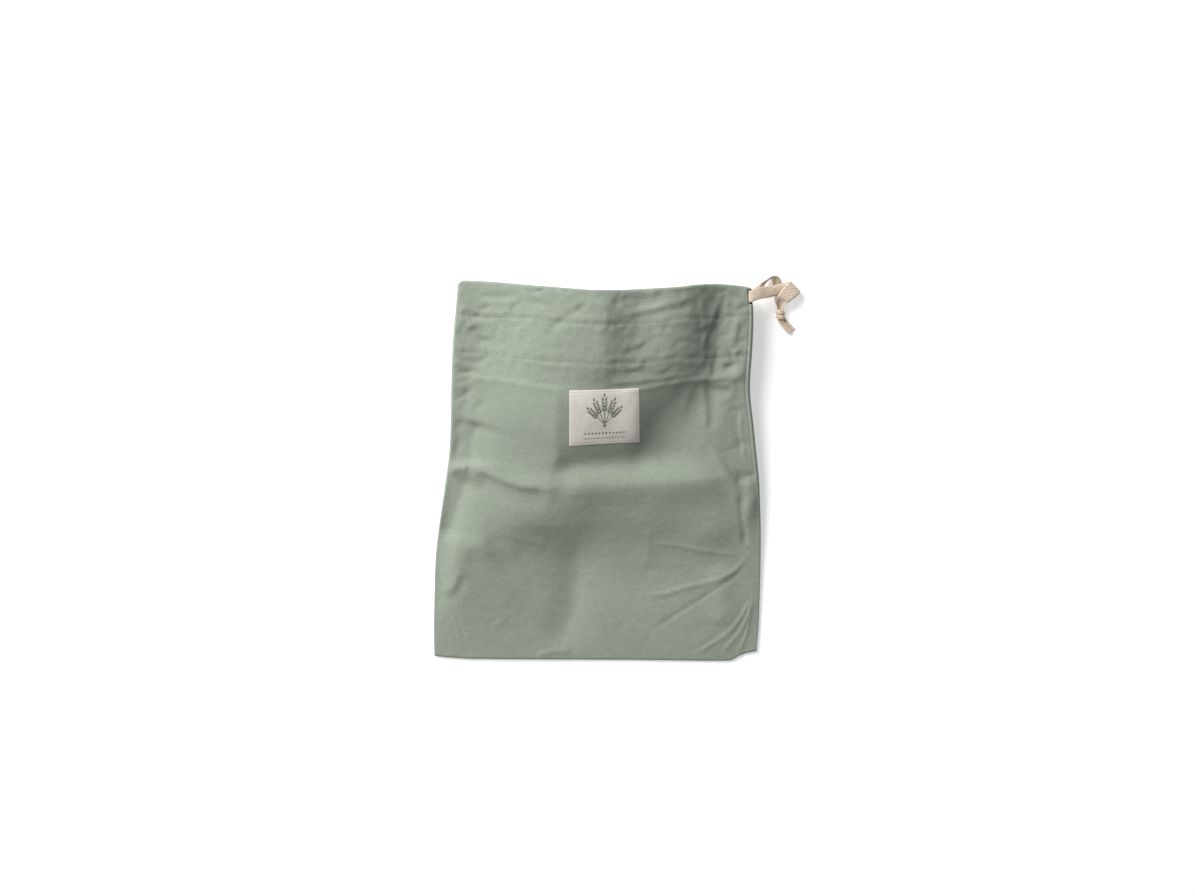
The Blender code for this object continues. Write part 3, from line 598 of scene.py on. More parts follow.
def skin(y, depth=0.0, beyond=0.0):
    """The cloth at each nominal y, `depth` mm inside its outer face, moved `beyond` mm
    along the bag, as round the rim's fold."""
    y = np.asarray(y, float)
    points, normals = surface_normals(y)
    lift = relief(points, y)
    depth = np.broadcast_to(np.asarray(depth, float), y.shape)[:, None]
    beyond = np.broadcast_to(np.asarray(beyond, float), y.shape)[:, None]
    out = points + normals * (lift - depth)[..., None]
    out[..., 1] += beyond
    floor = TABLE_CLEAR + depth
    out[..., 2] = np.maximum(out[..., 2], floor)
    return out


FOLD_ROUND = 1.7  # half the bottom fold's height, mm
FOLD_TIP = 1.75  # how far its line lies below the last row, mm
FOLD_TURNS = (70, 45, 20)  # degrees round it of the rows between
BODY_ROWS = ((-171.5, -160.0, 10), (-160.0, 160.0, 170))
RIM_ROWS, RIM_TURNS, HEM_ROWS = 4, 9, 24


def row_places():
    """Nominal y of every row, with its depth and how far the rim's fold carries it:
    up the outside, round the rim, and down inside to the hem's end."""
    body = np.concatenate([np.linspace(*rows)[:-1] for rows in BODY_ROWS]
                          + [np.linspace(BODY_ROWS[-1][1], RIM_NOMINAL - SLIT_ABOVE, RIM_ROWS)])
    deep = LAYERS + CASING_GAP
    turn = np.linspace(0, np.pi, RIM_TURNS)[1:-1]
    fold_y = np.full(len(turn), RIM_NOMINAL - deep / 2)
    below = np.linspace(SLIT_ABOVE, HEM_DEEP, HEM_ROWS)
    close = ease((below - SLIT_BELOW) / (CASING_DEEP - SLIT_BELOW))
    gap = CASING_GAP * (1 - close) + HEM_GAP * close
    y = np.concatenate([body, fold_y, RIM_NOMINAL - below])
    depth = np.concatenate([np.zeros(len(body)), deep / 2 * (1 - np.cos(turn)), LAYERS + gap])
    beyond = np.concatenate([np.zeros(len(body)), deep / 2 * np.sin(turn), np.zeros(HEM_ROWS)])
    return y, depth, beyond, len(body)


def bag_cloth(material):
    """The whole bag in one sheet: the tube of the panels, closed along the bottom fold,
    open in the right-hand side seam where the tape comes out."""
    y, depth, beyond, outside = row_places()
    rows = skin(y, depth, beyond)
    first = rows[0]
    turn = np.radians(FOLD_TURNS[::-1])[:, None]
    fold = np.stack([np.broadcast_to(first[:, 0], (len(turn), COLUMNS)),
                     first[:, 1] - FOLD_ROUND * np.cos(turn),
                     FOLD_ROUND + (first[:, 2] - FOLD_ROUND) * np.sin(turn)], axis=-1)
    rings = np.concatenate([fold, rows])
    extra = len(fold)
    around = np.linalg.norm(np.diff(rings, axis=1, append=rings[:, :1]), axis=2)
    u = np.concatenate([np.zeros((len(rings), 1)), np.cumsum(around, axis=1)[:, :-1]], axis=1)
    u = u - u[:, N_FRONT // 2][:, None]
    along = np.linalg.norm(np.diff(rings, axis=0), axis=2).mean(1)
    v = np.repeat(np.concatenate([[0], np.cumsum(along)])[:, None], COLUMNS, 1)
    faces = grid_faces(len(rings), COLUMNS, closed=True)
    row_id = np.repeat(np.arange(len(rings) - 1), COLUMNS)
    column_id = np.tile(np.arange(COLUMNS), len(rings) - 1)
    row_below = RIM_NOMINAL - np.concatenate([np.full(extra, SECTIONS[0][0]), y])
    slit = ((row_below[row_id] <= SLIT_BELOW) & (row_below[row_id + 1] >= SLIT_ABOVE - 0.01)
            & (row_id + 1 < outside + extra) & (column_id >= N_FRONT - SLIT_FRONT)
            & (column_id < N_FRONT + SLIT_BACK))
    faces = faces[~slit]
    nose_line = rings[0][:N_FRONT].copy()
    nose_line[:, 1] = first[:N_FRONT, 1] - FOLD_TIP
    nose_line[:, 2] = FOLD_ROUND
    start = len(rings) * COLUMNS
    j = np.arange(N_FRONT - 1)
    front_strip = np.stack([j, start + j, start + j + 1, j + 1], axis=1)
    back = np.concatenate([np.arange(N_FRONT - 1, COLUMNS), [0]])
    near = np.abs(rings[0][back, 0][:, None] - nose_line[:, 0]).argmin(axis=1)
    first_of, last_of, from_near, to_near = back[:-1], back[1:], near[:-1], near[1:]
    fans = np.maximum(from_near - to_near, 0)
    owner = np.repeat(np.arange(len(fans)), fans)
    step = np.arange(fans.sum()) - np.repeat(np.cumsum(fans) - fans, fans)
    spoke = start + from_near[owner] - step
    closing = np.concatenate([np.stack([first_of[owner], spoke, spoke - 1], axis=1),
                              np.stack([first_of, start + to_near, last_of], axis=1)])
    points = np.concatenate([rings.reshape(-1, 3), nose_line])
    uv = np.concatenate([np.stack([u, v], -1).reshape(-1, 2),
                         np.stack([u[0, :N_FRONT], np.full(N_FRONT, -FOLD_ROUND)], -1)])
    every_face = front_strip.tolist() + faces.tolist() + closing.tolist()
    obj = add_piece("bag_cloth", points, every_face, material, uv)
    give_thickness(obj, CLOTH_THICK)
    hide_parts("bag_body")
    return obj


# --- places on the front panel -----------------------------------------------
SEEK_STEPS, SEEK_SHARE = 12, 0.8  # corrections, and the share of each that is made
PANEL_FROM, PANEL_ROWS = -168, 200


class FrontPanel:
    """The front panel as a fine grid that can be asked for the point that the eye sees at
    a place on the table's plane."""

    def __init__(self):
        self.y = np.linspace(PANEL_FROM, RIM_NOMINAL - SLIT_ABOVE, PANEL_ROWS)
        self.points = skin(self.y)[:, :N_FRONT]
        self.sx, self.sy = seen(self.points)
        du = np.gradient(self.points, axis=1)
        dv = np.gradient(self.points, axis=0)
        self.normals = unit(np.cross(du, dv))

    def read(self, array, i, j):
        """Bilinear reading of a grid at fractional row i and column j."""
        i = np.clip(i, 0, array.shape[0] - 1.001)
        j = np.clip(j, 0, array.shape[1] - 1.001)
        i0, j0 = i.astype(int), j.astype(int)
        fi, fj = i - i0, j - j0
        if array.ndim == 3:
            fi, fj = fi[..., None], fj[..., None]
        return ((array[i0, j0] * (1 - fj) + array[i0, j0 + 1] * fj) * (1 - fi)
                + (array[i0 + 1, j0] * (1 - fj) + array[i0 + 1, j0 + 1] * fj) * fi)

    def at(self, x, y, lift=0.0):
        """Point and normal that the eye sees at x, y: a few steps of correction of the
        row and the column, each by how far the seen point is off."""
        x, y = np.broadcast_arrays(np.asarray(x, float), np.asarray(y, float))
        i = (y - self.y[0]) / (self.y[-1] - self.y[0]) * (len(self.y) - 1)
        j = np.interp(x, self.sx[len(self.y) // 2], np.arange(N_FRONT))
        for _ in range(SEEK_STEPS):
            ex, ey = self.read(self.sx, i, j) - x, self.read(self.sy, i, j) - y
            wide = self.read(self.sx, i, np.clip(j + 1, 0, N_FRONT - 1)) - self.read(self.sx, i, j - 1)
            tall = self.read(self.sy, np.clip(i + 1, 0, len(self.y) - 1), j) - self.read(self.sy, i - 1, j)
            j = np.clip(j - SEEK_SHARE * ex / np.maximum(wide / 2, 0.1), 0, N_FRONT - 1.01)
            i = np.clip(i - SEEK_SHARE * ey / np.maximum(tall / 2, 0.1), 0, len(self.y) - 1.01)
        normal = unit(self.read(self.normals, i, j))
        lift = np.broadcast_to(np.asarray(lift, float), x.shape)
        return self.read(self.points, i, j) + normal * lift[..., None], normal


# --- stitches ----------------------------------------------------------------
THREAD_PLACE = np.array([0.0, 0.06, 0.3, 0.7, 0.94, 1.0])  # rings along one stitch
THREAD_GIRTH = np.array([0.35, 0.8, 1.0, 1.0, 0.8, 0.35])  # shares of its radius
THREAD_ARCH = np.array([-1.1, -0.3, 0.35, 0.35, -0.3, -1.1])  # heights, in radii
THREAD_SINK = 0.25  # how deep it lies, in radii
THREAD_ROUND = 6
THREAD_FLAT = 0.8  # its height, for its width


def capsules(name, starts, ends, normals, radius, material, slot):
    """Short rounded threads between start and end points: six-sided rings along a low
    arch, closed at both ends, all in one mesh."""
    along = ends - starts
    direction = unit(along)
    side = unit(np.cross(normals, direction))
    up = np.cross(direction, side)
    turn = np.arange(THREAD_ROUND) * 2 * np.pi / THREAD_ROUND
    height = (THREAD_ARCH - THREAD_SINK) * radius
    centre = starts[:, None] + along[:, None] * THREAD_PLACE[:, None] + up[:, None] * height[:, None]
    ring = (side[:, None, None] * np.cos(turn)[:, None]
            + up[:, None, None] * np.sin(turn)[:, None] * THREAD_FLAT)
    points = centre[:, :, None] + ring * (THREAD_GIRTH * radius)[:, None, None]
    count, rings = len(starts), len(THREAD_PLACE)
    block = rings * THREAD_ROUND
    quads = grid_faces(rings, THREAD_ROUND, closed=True)
    caps = np.array(tube_faces(rings, THREAD_ROUND)[-2:])
    shift = (np.arange(count) * block)[:, None, None]
    faces = (quads + shift).reshape(-1, 4).tolist() + (caps + shift).reshape(-1, THREAD_ROUND).tolist()
    uv = np.stack(np.broadcast_arrays(THREAD_PLACE[:, None] * 3, turn), -1)
    return add_piece(name, points, faces, material, np.tile(uv.reshape(-1, 2), (count, 1)))


def dashes(points, normals, stitch, gap, jitter):
    """Cuts a line of points into stitches, each moved by a little chance: start, end and
    normal of each."""
    run = run_along(points)
    count = int(run[-1] / (stitch + gap))
    first = np.arange(count) * (stitch + gap) + rng.uniform(-jitter, jitter, count)

    def at(where):
        return np.stack([np.interp(where, run, points[:, k]) for k in range(3)], axis=1)

    normal = np.stack([np.interp(first + stitch / 2, run, normals[:, k]) for k in range(3)], axis=1)
    return at(first), at(first + stitch), unit(normal)


SEAM_THREAD = 0.27  # radius, mm
FRONT_STITCH = (1.9, 1.3, 0.12)  # length, gap and chance shift, mm
BACK_STITCH = (2.3, 0.9, 0.12)
ROW_ENDS = (1.5, 1.0)  # how far a front row ends short of its table, mm
FRONT_POINTS, BACK_POINTS = 900, 700
BACK_LEAST = TABLE_CLEAR + 0.1  # least height of a back row: its threads clear the table


def stitch_rows(panel, material):
    """Both rows of stitches across the front, and the same two rows across the back."""
    for name, row in (("stitches_casing_front", STITCH_ROW_TOP), ("stitches_hem_front", STITCH_ROW_LOW)):
        x = np.linspace(row[0][0] + ROW_ENDS[0], row[-1][0] - ROW_ENDS[1], FRONT_POINTS)
        points, normals = panel.at(x, table(row, x))
        capsules(name, *dashes(points, normals, *FRONT_STITCH), SEAM_THREAD, material, "linen")
    for name, below in (("stitches_casing_back", CASING_DEEP), ("stitches_hem_back", HEM_DEEP - 2)):
        points, normals = surface_normals(np.array([RIM_NOMINAL - below]))
        back = slice(N_FRONT + N_RIGHT - 3, N_FRONT + N_RIGHT + BACK_SPANS + 4)
        line = spline(points[0, back], BACK_POINTS)
        normal = spline(normals[0, back], BACK_POINTS)
        line[:, 2] = np.maximum(line[:, 2], BACK_LEAST)
        capsules(name, *dashes(line, normal, *BACK_STITCH), SEAM_THREAD, material, "linen")


# --- the label ---------------------------------------------------------------
def label_place(u, v):
    """Seen x and y on the label, u and v going from 0 to 1 across it and down it."""
    corner = np.array(LABEL_CORNERS, float)
    u, v = u[..., None], v[..., None]
    place = ((corner[0] * (1 - u) + corner[1] * u) * (1 - v)
             + (corner[3] * (1 - u) + corner[2] * u) * v)
    return place[..., 0], place[..., 1]


EARS = ((-0.80, 20.0), (-0.40, 23.0), (0.0, 25.0), (0.40, 23.0), (0.80, 20.0))  # lean, length
EARS_FROM = -6.5  # height at which the ears meet, mm
GRAIN_PAIRS = 4
PRINT_WIDE, PRINT_HIGH = 64.0, 50.0  # the label as its print measures it, mm
BAND_HIGH, BAND_HALF = -4.2, 2.6
DIAMOND_HIGH, DIAMOND_STEP = -14.6, 3.2
RULE_HIGH, RULE_STEP = -18.9, 2.4
PRINT_HALF = 19.2  # half the diamonds' and the rule's length, mm
FAR = 50.0  # more than any distance on the label, mm


def label_ink(u, v):
    """The print on the label: a sheaf of five ears of grain, fanned out above a band, over
    a row of small diamonds and a broken rule.  Green ink goes from 0 to 1 in the first
    value, rust in the second.  A grain is an ellipse, set at an angle to its stem; a
    stroke is the places nearer to a line than half its width."""
    x, y = (u - 0.5) * PRINT_WIDE, (0.5 - v) * PRINT_HIGH
    green = np.zeros_like(x)

    def stroke(distance, half, outside=False):
        return np.clip((half - distance - FAR * outside) / 0.35 + 0.5, 0, 1)

    def grain(up, off, lean, splay, long_half, wide_half):
        """A grain `up` mm along an ear's stem and `off` mm to the side of it."""
        cx = up * math.sin(lean) + off * math.cos(lean)
        cy = EARS_FROM + up * math.cos(lean) - off * math.sin(lean)
        c, s = math.cos(math.pi / 2 - lean - splay), math.sin(math.pi / 2 - lean - splay)
        a = ((x - cx) * c + (y - cy) * s) / long_half
        b = ((y - cy) * c - (x - cx) * s) / wide_half
        return stroke((np.sqrt(a * a + b * b) - 1) * wide_half, 0.0)

    for lean, tall in EARS:
        c, s = math.cos(lean), math.sin(lean)
        off = np.abs(x * c - (y - EARS_FROM) * s)
        run = x * s + (y - EARS_FROM) * c
        ear = [stroke(off, 0.34, np.abs(run - tall * 0.30) > tall * 0.42),
               grain(tall * 1.06, 0.0, lean, 0.0, 1.8, 0.8)]
        for k in range(GRAIN_PAIRS):
            for side in (-1, 1):
                ear.append(grain(tall * (0.54 + 0.125 * k), side * 1.45, lean, side * 0.5, 1.75, 0.82))
        green = np.maximum(green, np.max(ear, axis=0))
    rust = stroke(np.abs(y - BAND_HIGH), 0.75, np.abs(x) > BAND_HALF)
    diamond = np.abs(np.mod(x, DIAMOND_STEP) - DIAMOND_STEP / 2) + np.abs(y - DIAMOND_HIGH)
    green = np.maximum(green, stroke(diamond, 1.15, np.abs(x) > PRINT_HALF))
    broken = (np.abs(x) > PRINT_HALF) | (np.mod(x + 0.6, RULE_STEP) > 1.7)
    green = np.maximum(green, stroke(np.abs(y - RULE_HIGH), 0.42, broken) * 0.85)
    return green * (1 - rust), rust


def label_patch(panel, material, thread):
    """The label: a thin sheet sewn on just above the front panel, with the print held as two
    values on its mesh, and small stitches near its edge.  It puffs up by 0.42 mm over the
    first 1.2 mm from its turned edge, dips by 0.25 mm along its stitches, and gathers there
    by 0.1 mm."""
    u, v = np.meshgrid(*(np.linspace(0, 1, count) for count in LABEL_GRID))
    x, y = label_place(u, v)
    y = y + LABEL_BOW * np.sin(np.pi * u) * (v - 0.5) * 2
    edge = np.minimum(np.minimum(u, 1 - u) * LABEL_WIDE, np.minimum(v, 1 - v) * LABEL_HIGH)
    puff = 0.42 * ease(edge / 1.2) - 0.25 * np.exp(-((edge - LABEL_INSET) / 0.5) ** 2)
    gather = np.sin((u * PRINT_WIDE + v * PRINT_HIGH) * 2.4) * np.exp(-((edge - LABEL_INSET) / 1.4) ** 2)
    points, _ = panel.at(x, y, LABEL_LIFT + puff + 0.10 * gather)
    faces = grid_faces(*u.shape)[:, ::-1]
    uv = np.stack([u * LABEL_WIDE, (1 - v) * LABEL_HIGH], -1)
    obj = add_piece("label_patch", points, faces, material, uv)
    green, rust = label_ink(u, v)
    for name, value in (("ink_green", green), ("ink_rust", rust)):
        layer = obj.data.attributes.new(name, "FLOAT", "POINT")
        layer.data.foreach_set("value", value.astype(np.float32).ravel())
    give_thickness(obj, LABEL_THICK)
    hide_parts("label")
    fu, fv = LABEL_INSET / LABEL_WIDE, LABEL_INSET / LABEL_HIGH
    loop = np.array([(fu, fv), (1 - fu, fv), (1 - fu, 1 - fv), (fu, 1 - fv), (fu, fv)])
    t = np.linspace(0, 1, 120)[:, None]
    rows = []
    for a, b in zip(loop[:-1], loop[1:]):
        along = a * (1 - t) + b * t
        line, normal = panel.at(*label_place(along[:, 0], along[:, 1]), LABEL_THREAD_LIFT)
        rows.append(dashes(line, normal, *LABEL_STITCH))
    starts, ends, normals = (np.concatenate(parts) for parts in zip(*rows))
    capsules("label_stitches", starts, ends, normals, LABEL_THREAD, thread, "label_cloth")
    return obj


# --- the tape and its knot ---------------------------------------------------
STRAND_ROWS, CASING_ROWS = 150, 260
EDGE_THIN = 0.35  # share of its thickness that the tape loses at its edges
BOW_HALVINGS = 24
ARC_POINTS = 15  # across one face of the tape
BOW_MOST, BOW_SHARE = 2.2, 0.85  # how much of the bow is kept, mm and share
TABLE_NEAR = 0.05  # the least height of a tape's point, mm


def tape_strand(name, rails, count, material, push=(0, 0, 0)):
    """A flat tape between two edge lines; the piece and its middle line, in the frame.

    Where the edges come closer than the tape is wide, its section bows into half an
    ellipse whose length stays the tape's width: the bow is found by halving.  Where the
    tape turns over, the middle of the fold is pushed out by `push`."""
    edges = spline(np.reshape(rails, (-1, 2, 3)), count)
    a, b = edges[:, 0], edges[:, 1]
    half = np.linalg.norm(b - a, axis=1) / 2
    low, high = np.full(count, 0.02), np.full(count, TAPE_WIDE / 2)
    for _ in range(BOW_HALVINGS):
        bow = (low + high) / 2
        girth = math.pi / 2 * (3 * (half + bow) - np.sqrt((3 * half + bow) * (half + 3 * bow)))
        low, high = np.where(girth < TAPE_WIDE, bow, low), np.where(girth < TAPE_WIDE, high, bow)
    high = (np.minimum((low + high) / 2, BOW_MOST) * BOW_SHARE)[:, None]
    middle = (a + b) / 2
    across = unit(b - a)
    normal = unit(np.cross(across, unit(np.gradient(middle, axis=0))))
    turn = np.linspace(0, np.pi, ARC_POINTS)
    line = np.stack([-half[:, None] * np.cos(turn), high * np.sin(turn)], -1)
    out = np.stack([-high * np.cos(turn), half[:, None] * np.sin(turn)], -1)
    out = out / np.maximum(np.linalg.norm(out, axis=-1, keepdims=True), 1e-6)
    thick = (TAPE_THICK / 2 * (1 - EDGE_THIN * np.abs(np.cos(turn)) ** 6))[:, None]
    section = np.concatenate([line + out * thick, (line - out * thick)[:, ::-1]], axis=1)
    points = (middle[:, None] + across[:, None] * section[..., :1]
              + normal[:, None] * (section[..., 1:] - (high / 2)[..., None]))
    share = np.exp(-((np.linspace(0, 1, count) - FOLD_ROW) / FOLD_REACH) ** 2)
    swing = 1 - (section[..., 0] / np.maximum(half, 0.1)[:, None]) ** 2
    points = points + (share[:, None] * swing)[..., None] * np.array(push)
    points[..., 2] = np.maximum(points[..., 2], TABLE_NEAR)
    span = np.concatenate([np.linspace(0, TAPE_WIDE, ARC_POINTS), np.linspace(TAPE_WIDE, 0, ARC_POINTS)])
    uv = np.stack(np.broadcast_arrays(run_along(middle)[:, None], span), -1)
    obj = add_piece(name, points, tube_faces(count, len(span)), material, uv)
    return obj, (middle - CENTRE) * MM


def hidden_tape(material):
    """The tape's run inside the casing, from one strand round the front, the left side and
    the back to the other, half-way between the casing's two layers."""
    y = RIM_NOMINAL - TAPE_BELOW_RIM + np.array([0.5, -0.5]) * TAPE_WIDE
    rings = skin(y, LAYERS / 2 + CASING_GAP / 2)
    order = np.concatenate([np.arange(N_FRONT + 2, -1, -1),
                            np.arange(COLUMNS - 1, N_FRONT + N_RIGHT - 5, -1)])
    rails = rings[:, order].transpose(1, 0, 2)
    keep = np.linalg.norm(np.diff(rails.mean(1), axis=0), axis=1) > 0.5
    tape_strand("tape_in_casing", rails[np.append(True, keep)], CASING_ROWS, material)


KNOT_AROUND = 16
BAND_ROWS, BAND_START, BAND_TURNS = 120, -0.9, 2.05  # rows, first angle, times round the core
BAND_WIDE, BAND_THICK = 2.15, 1.05  # half measures of its section, mm
CORE_ROWS, CORE_GIRTH = 26, 2.7


def knot(material):
    """The knot: one band wound twice round a tight core.  The band's section, a flat oval, is
    carried along a helix about the knot's axis, 3.3 mm from it, closing in by 0.3 mm on the
    way and swaying by 0.2 mm twice a turn."""
    size = np.linalg.norm(KNOT_END - KNOT_TOP)
    forward = (KNOT_END - KNOT_TOP) / size
    side = unit(np.cross(forward, [0, 0, 1.0]))
    up = np.cross(side, forward)
    phi = np.arange(KNOT_AROUND) * 2 * np.pi / KNOT_AROUND

    def place(name, points, along, across):
        points[..., 2] = np.maximum(points[..., 2], TABLE_NEAR)
        uv = np.stack(np.broadcast_arrays(along[:, None], across), -1)
        return add_piece(name, points, tube_faces(len(along), KNOT_AROUND), material, uv)

    t = np.linspace(0, 1, BAND_ROWS)
    turn = BAND_START + t * 2 * np.pi * BAND_TURNS
    tight = 3.3 - 0.3 * t + 0.2 * np.sin(turn * 2 + 0.6)
    radial = side * np.cos(turn)[:, None] + up * (0.84 * np.sin(turn))[:, None]
    centre = KNOT_TOP + forward * ((0.06 + 0.86 * t) * size)[:, None] + radial * tight[:, None]
    taper = (0.35 + 0.65 * ease(t / 0.08) * ease((1 - t) / 0.08))[:, None]
    wide = BAND_WIDE * taper * np.cos(phi)
    thick = BAND_THICK * taper * np.sign(np.sin(phi)) * np.abs(np.sin(phi)) ** 0.7
    lean = unit(forward + radial * 0.10)
    points = centre[:, None] + lean[:, None] * wide[..., None] + unit(radial)[:, None] * thick[..., None]
    band = place("knot_band", points, t * 40, wide[BAND_ROWS // 2] + 2.5)
    v = np.linspace(0, 1, CORE_ROWS)
    girth = CORE_GIRTH * np.sin(np.pi * (v * 0.92 + 0.04)) ** 0.45
    spokes = side * np.cos(phi)[:, None] + up * (0.86 * np.sin(phi))[:, None]
    points = KNOT_TOP + (forward * ((0.02 + 0.96 * v) * size)[:, None])[:, None]
    core = place("knot_core", points + spokes * girth[:, None, None], v * 12, phi * 2)
    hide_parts("drawstring_knot")
    return band, core


# --- materials ---------------------------------------------------------------
def new_group(name, inputs, outputs):
    """A node group with float sockets: its tree, its inputs' node and its outputs' node."""
    tree = bpy.data.node_groups.new(name, "ShaderNodeTree")
    for title, value in inputs.items():
        socket = tree.interface.new_socket(name=title, in_out="INPUT", socket_type="NodeSocketFloat")
        socket.default_value = value
    for title in outputs:
        tree.interface.new_socket(name=title, in_out="OUTPUT", socket_type="NodeSocketFloat")
    return tree, tree.nodes.new("NodeGroupInput"), tree.nodes.new("NodeGroupOutput")


def set_inputs(node, values):
    """Sets values on a node's inputs by name; the node."""
    for name, value in values.items():
        node.inputs[name].default_value = value
    return node


def new_node(tree, kind, **values):
    return set_inputs(tree.nodes.new("ShaderNode" + kind), values)


def use_group(tree, group, values):
    node = new_node(tree, "Group")
    node.node_tree = group
    return set_inputs(node, values)


def cloth_uv(tree):
    """The piece's own UV, in metres of cloth."""
    node = tree.nodes.new("ShaderNodeUVMap")
    node.uv_map = "cloth"
    return node.outputs[0]


def link_chain(tree, *pairs):
    for source, target in pairs:
        tree.links.new(source, target)


def math_node(tree, operation, a, b=None, c=None):
    """A Math node on two or three values or sockets; its output."""
    node = tree.nodes.new("ShaderNodeMath")
    node.operation = operation
    for index, value in enumerate((a, b, c)):
        if value is None:
            continue
        if hasattr(value, "links"):
            tree.links.new(value, node.inputs[index])
        else:
            node.inputs[index].default_value = value
    return node.outputs[0]


def woven_threads():
    """Group: how thick and how light each thread is, from noise drawn out along the warp and
    along the weft, with the over-and-under of a plain weave.  Read in the piece's cloth UV."""
    tree, enter, leave = new_group("woven_threads", {"Threads per metre": 1300.0, "Slub shortness": 0.06},
                                   ("Height", "Tone"))
    split = new_node(tree, "SeparateXYZ")
    tree.links.new(cloth_uv(tree), split.inputs[0])
    across = math_node(tree, "MULTIPLY", split.outputs[0], enter.outputs["Threads per metre"])
    down = math_node(tree, "MULTIPLY", split.outputs[1], enter.outputs["Threads per metre"])

    def streaks(first, second, offset):
        """Noise one thread wide and many threads long."""
        join = new_node(tree, "CombineXYZ", Z=offset)
        noise = new_node(tree, "TexNoise", Scale=0.5, Detail=2.0, Roughness=0.6)
        slow = math_node(tree, "MULTIPLY", second, enter.outputs["Slub shortness"])
        link_chain(tree, (first, join.inputs[0]), (slow, join.inputs[1]),
                   (join.outputs[0], noise.inputs["Vector"]))
        return noise.outputs[0]

    warp, weft = streaks(across, down, 0.0), streaks(down, across, 7.0)
    waves = [math_node(tree, "SINE", math_node(tree, "MULTIPLY", way, math.pi)) for way in (across, down)]
    over = math_node(tree, "MULTIPLY", *waves)
    tone = math_node(tree, "MULTIPLY", math_node(tree, "ADD", warp, weft), 0.5)
    height = math_node(tree, "ADD", math_node(tree, "MULTIPLY", over, 0.22), tone)
    link_chain(tree, (height, leave.inputs["Height"]), (tone, leave.inputs["Tone"]))
    return tree


def cloth_wash():
    """Group: the soft mottling of washed cloth, broad and fine, in Object coordinates."""
    tree, enter, leave = new_group("cloth_wash", {"Patches per metre": 40.0}, ("Mottle", "Crumple", "Grain"))
    place = new_node(tree, "TexCoord")
    for name, factor, detail in (("Mottle", 1.0, 3.0), ("Crumple", 5.0, 4.0), ("Grain", 24.0, 2.0)):
        noise = new_node(tree, "TexNoise", Detail=detail, Roughness=0.62)
        scale = math_node(tree, "MULTIPLY", enter.outputs["Patches per metre"], factor)
        link_chain(tree, (place.outputs["Object"], noise.inputs["Vector"]),
                   (scale, noise.inputs["Scale"]), (noise.outputs[0], leave.inputs[name]))
    return tree


THREADS = woven_threads()
WASH = cloth_wash()


def colour_ramp(tree, factor, stops):
    """Colour from a factor between (place, colour) stops."""
    ramp = new_node(tree, "ValToRGB")
    while len(ramp.color_ramp.elements) < len(stops):
        ramp.color_ramp.elements.new(0.5)
    for element, (place, colour) in zip(ramp.color_ramp.elements, stops):
        element.position = place
        element.color = (*colour, 1.0)
    tree.links.new(factor, ramp.inputs[0])
    return ramp.outputs[0]


def mix_colour(tree, factor, a, b, blend="MIX"):
    """Mix of two colours, each a tuple or a socket."""
    node = new_node(tree, "Mix")
    node.data_type = "RGBA"
    node.blend_type = blend
    for socket, value in ((node.inputs[0], factor), (node.inputs[6], a), (node.inputs[7], b)):
        if hasattr(value, "links"):
            tree.links.new(value, socket)
        elif isinstance(value, tuple):
            socket.default_value = (*value, 1.0)
        else:
            socket.default_value = value
    return node.outputs[2]


# Each cloth: its colour at (tone, colour) stops, threads per metre, the slubs' shortness, bump of
# the weave and of the wash, patches of the wash per metre, roughness and sheen.
CREAM = (((0.28, (0.57, 0.533, 0.480)), (0.5, (0.625, 0.587, 0.535)), (0.74, (0.68, 0.642, 0.592))),
         2200.0, 0.08, 0.25, 0.15, 60.0, 0.88, 0.08)
CLOTHS = {
    "sage_linen": (
        ((0.3, (0.222, 0.254, 0.206)), (0.5, (0.250, 0.287, 0.233)), (0.7, (0.280, 0.320, 0.261))),
        2300.0, 0.13, 0.25, 0.20, 38.0, 0.9, 0.08),
    "sage_thread": (((0.3, (0.135, 0.160, 0.125)), (0.7, (0.20, 0.23, 0.185))),
                    4000.0, 0.3, 0.3, 0.0, 60.0, 0.85, 0.1),
    "cream_label": CREAM,
    "cream_thread": CREAM,
    "cotton_tape": (((0.3, (0.71, 0.585, 0.465)), (0.5, (0.78, 0.66, 0.54)), (0.7, (0.84, 0.735, 0.62))),
                    2600.0, 0.10, 0.3, 0.1, 90.0, 0.86, 0.1),
}


SHADE_LEAST, MOTTLE_SHARE, GRAIN_SHARE = 0.72, 0.16, 0.40


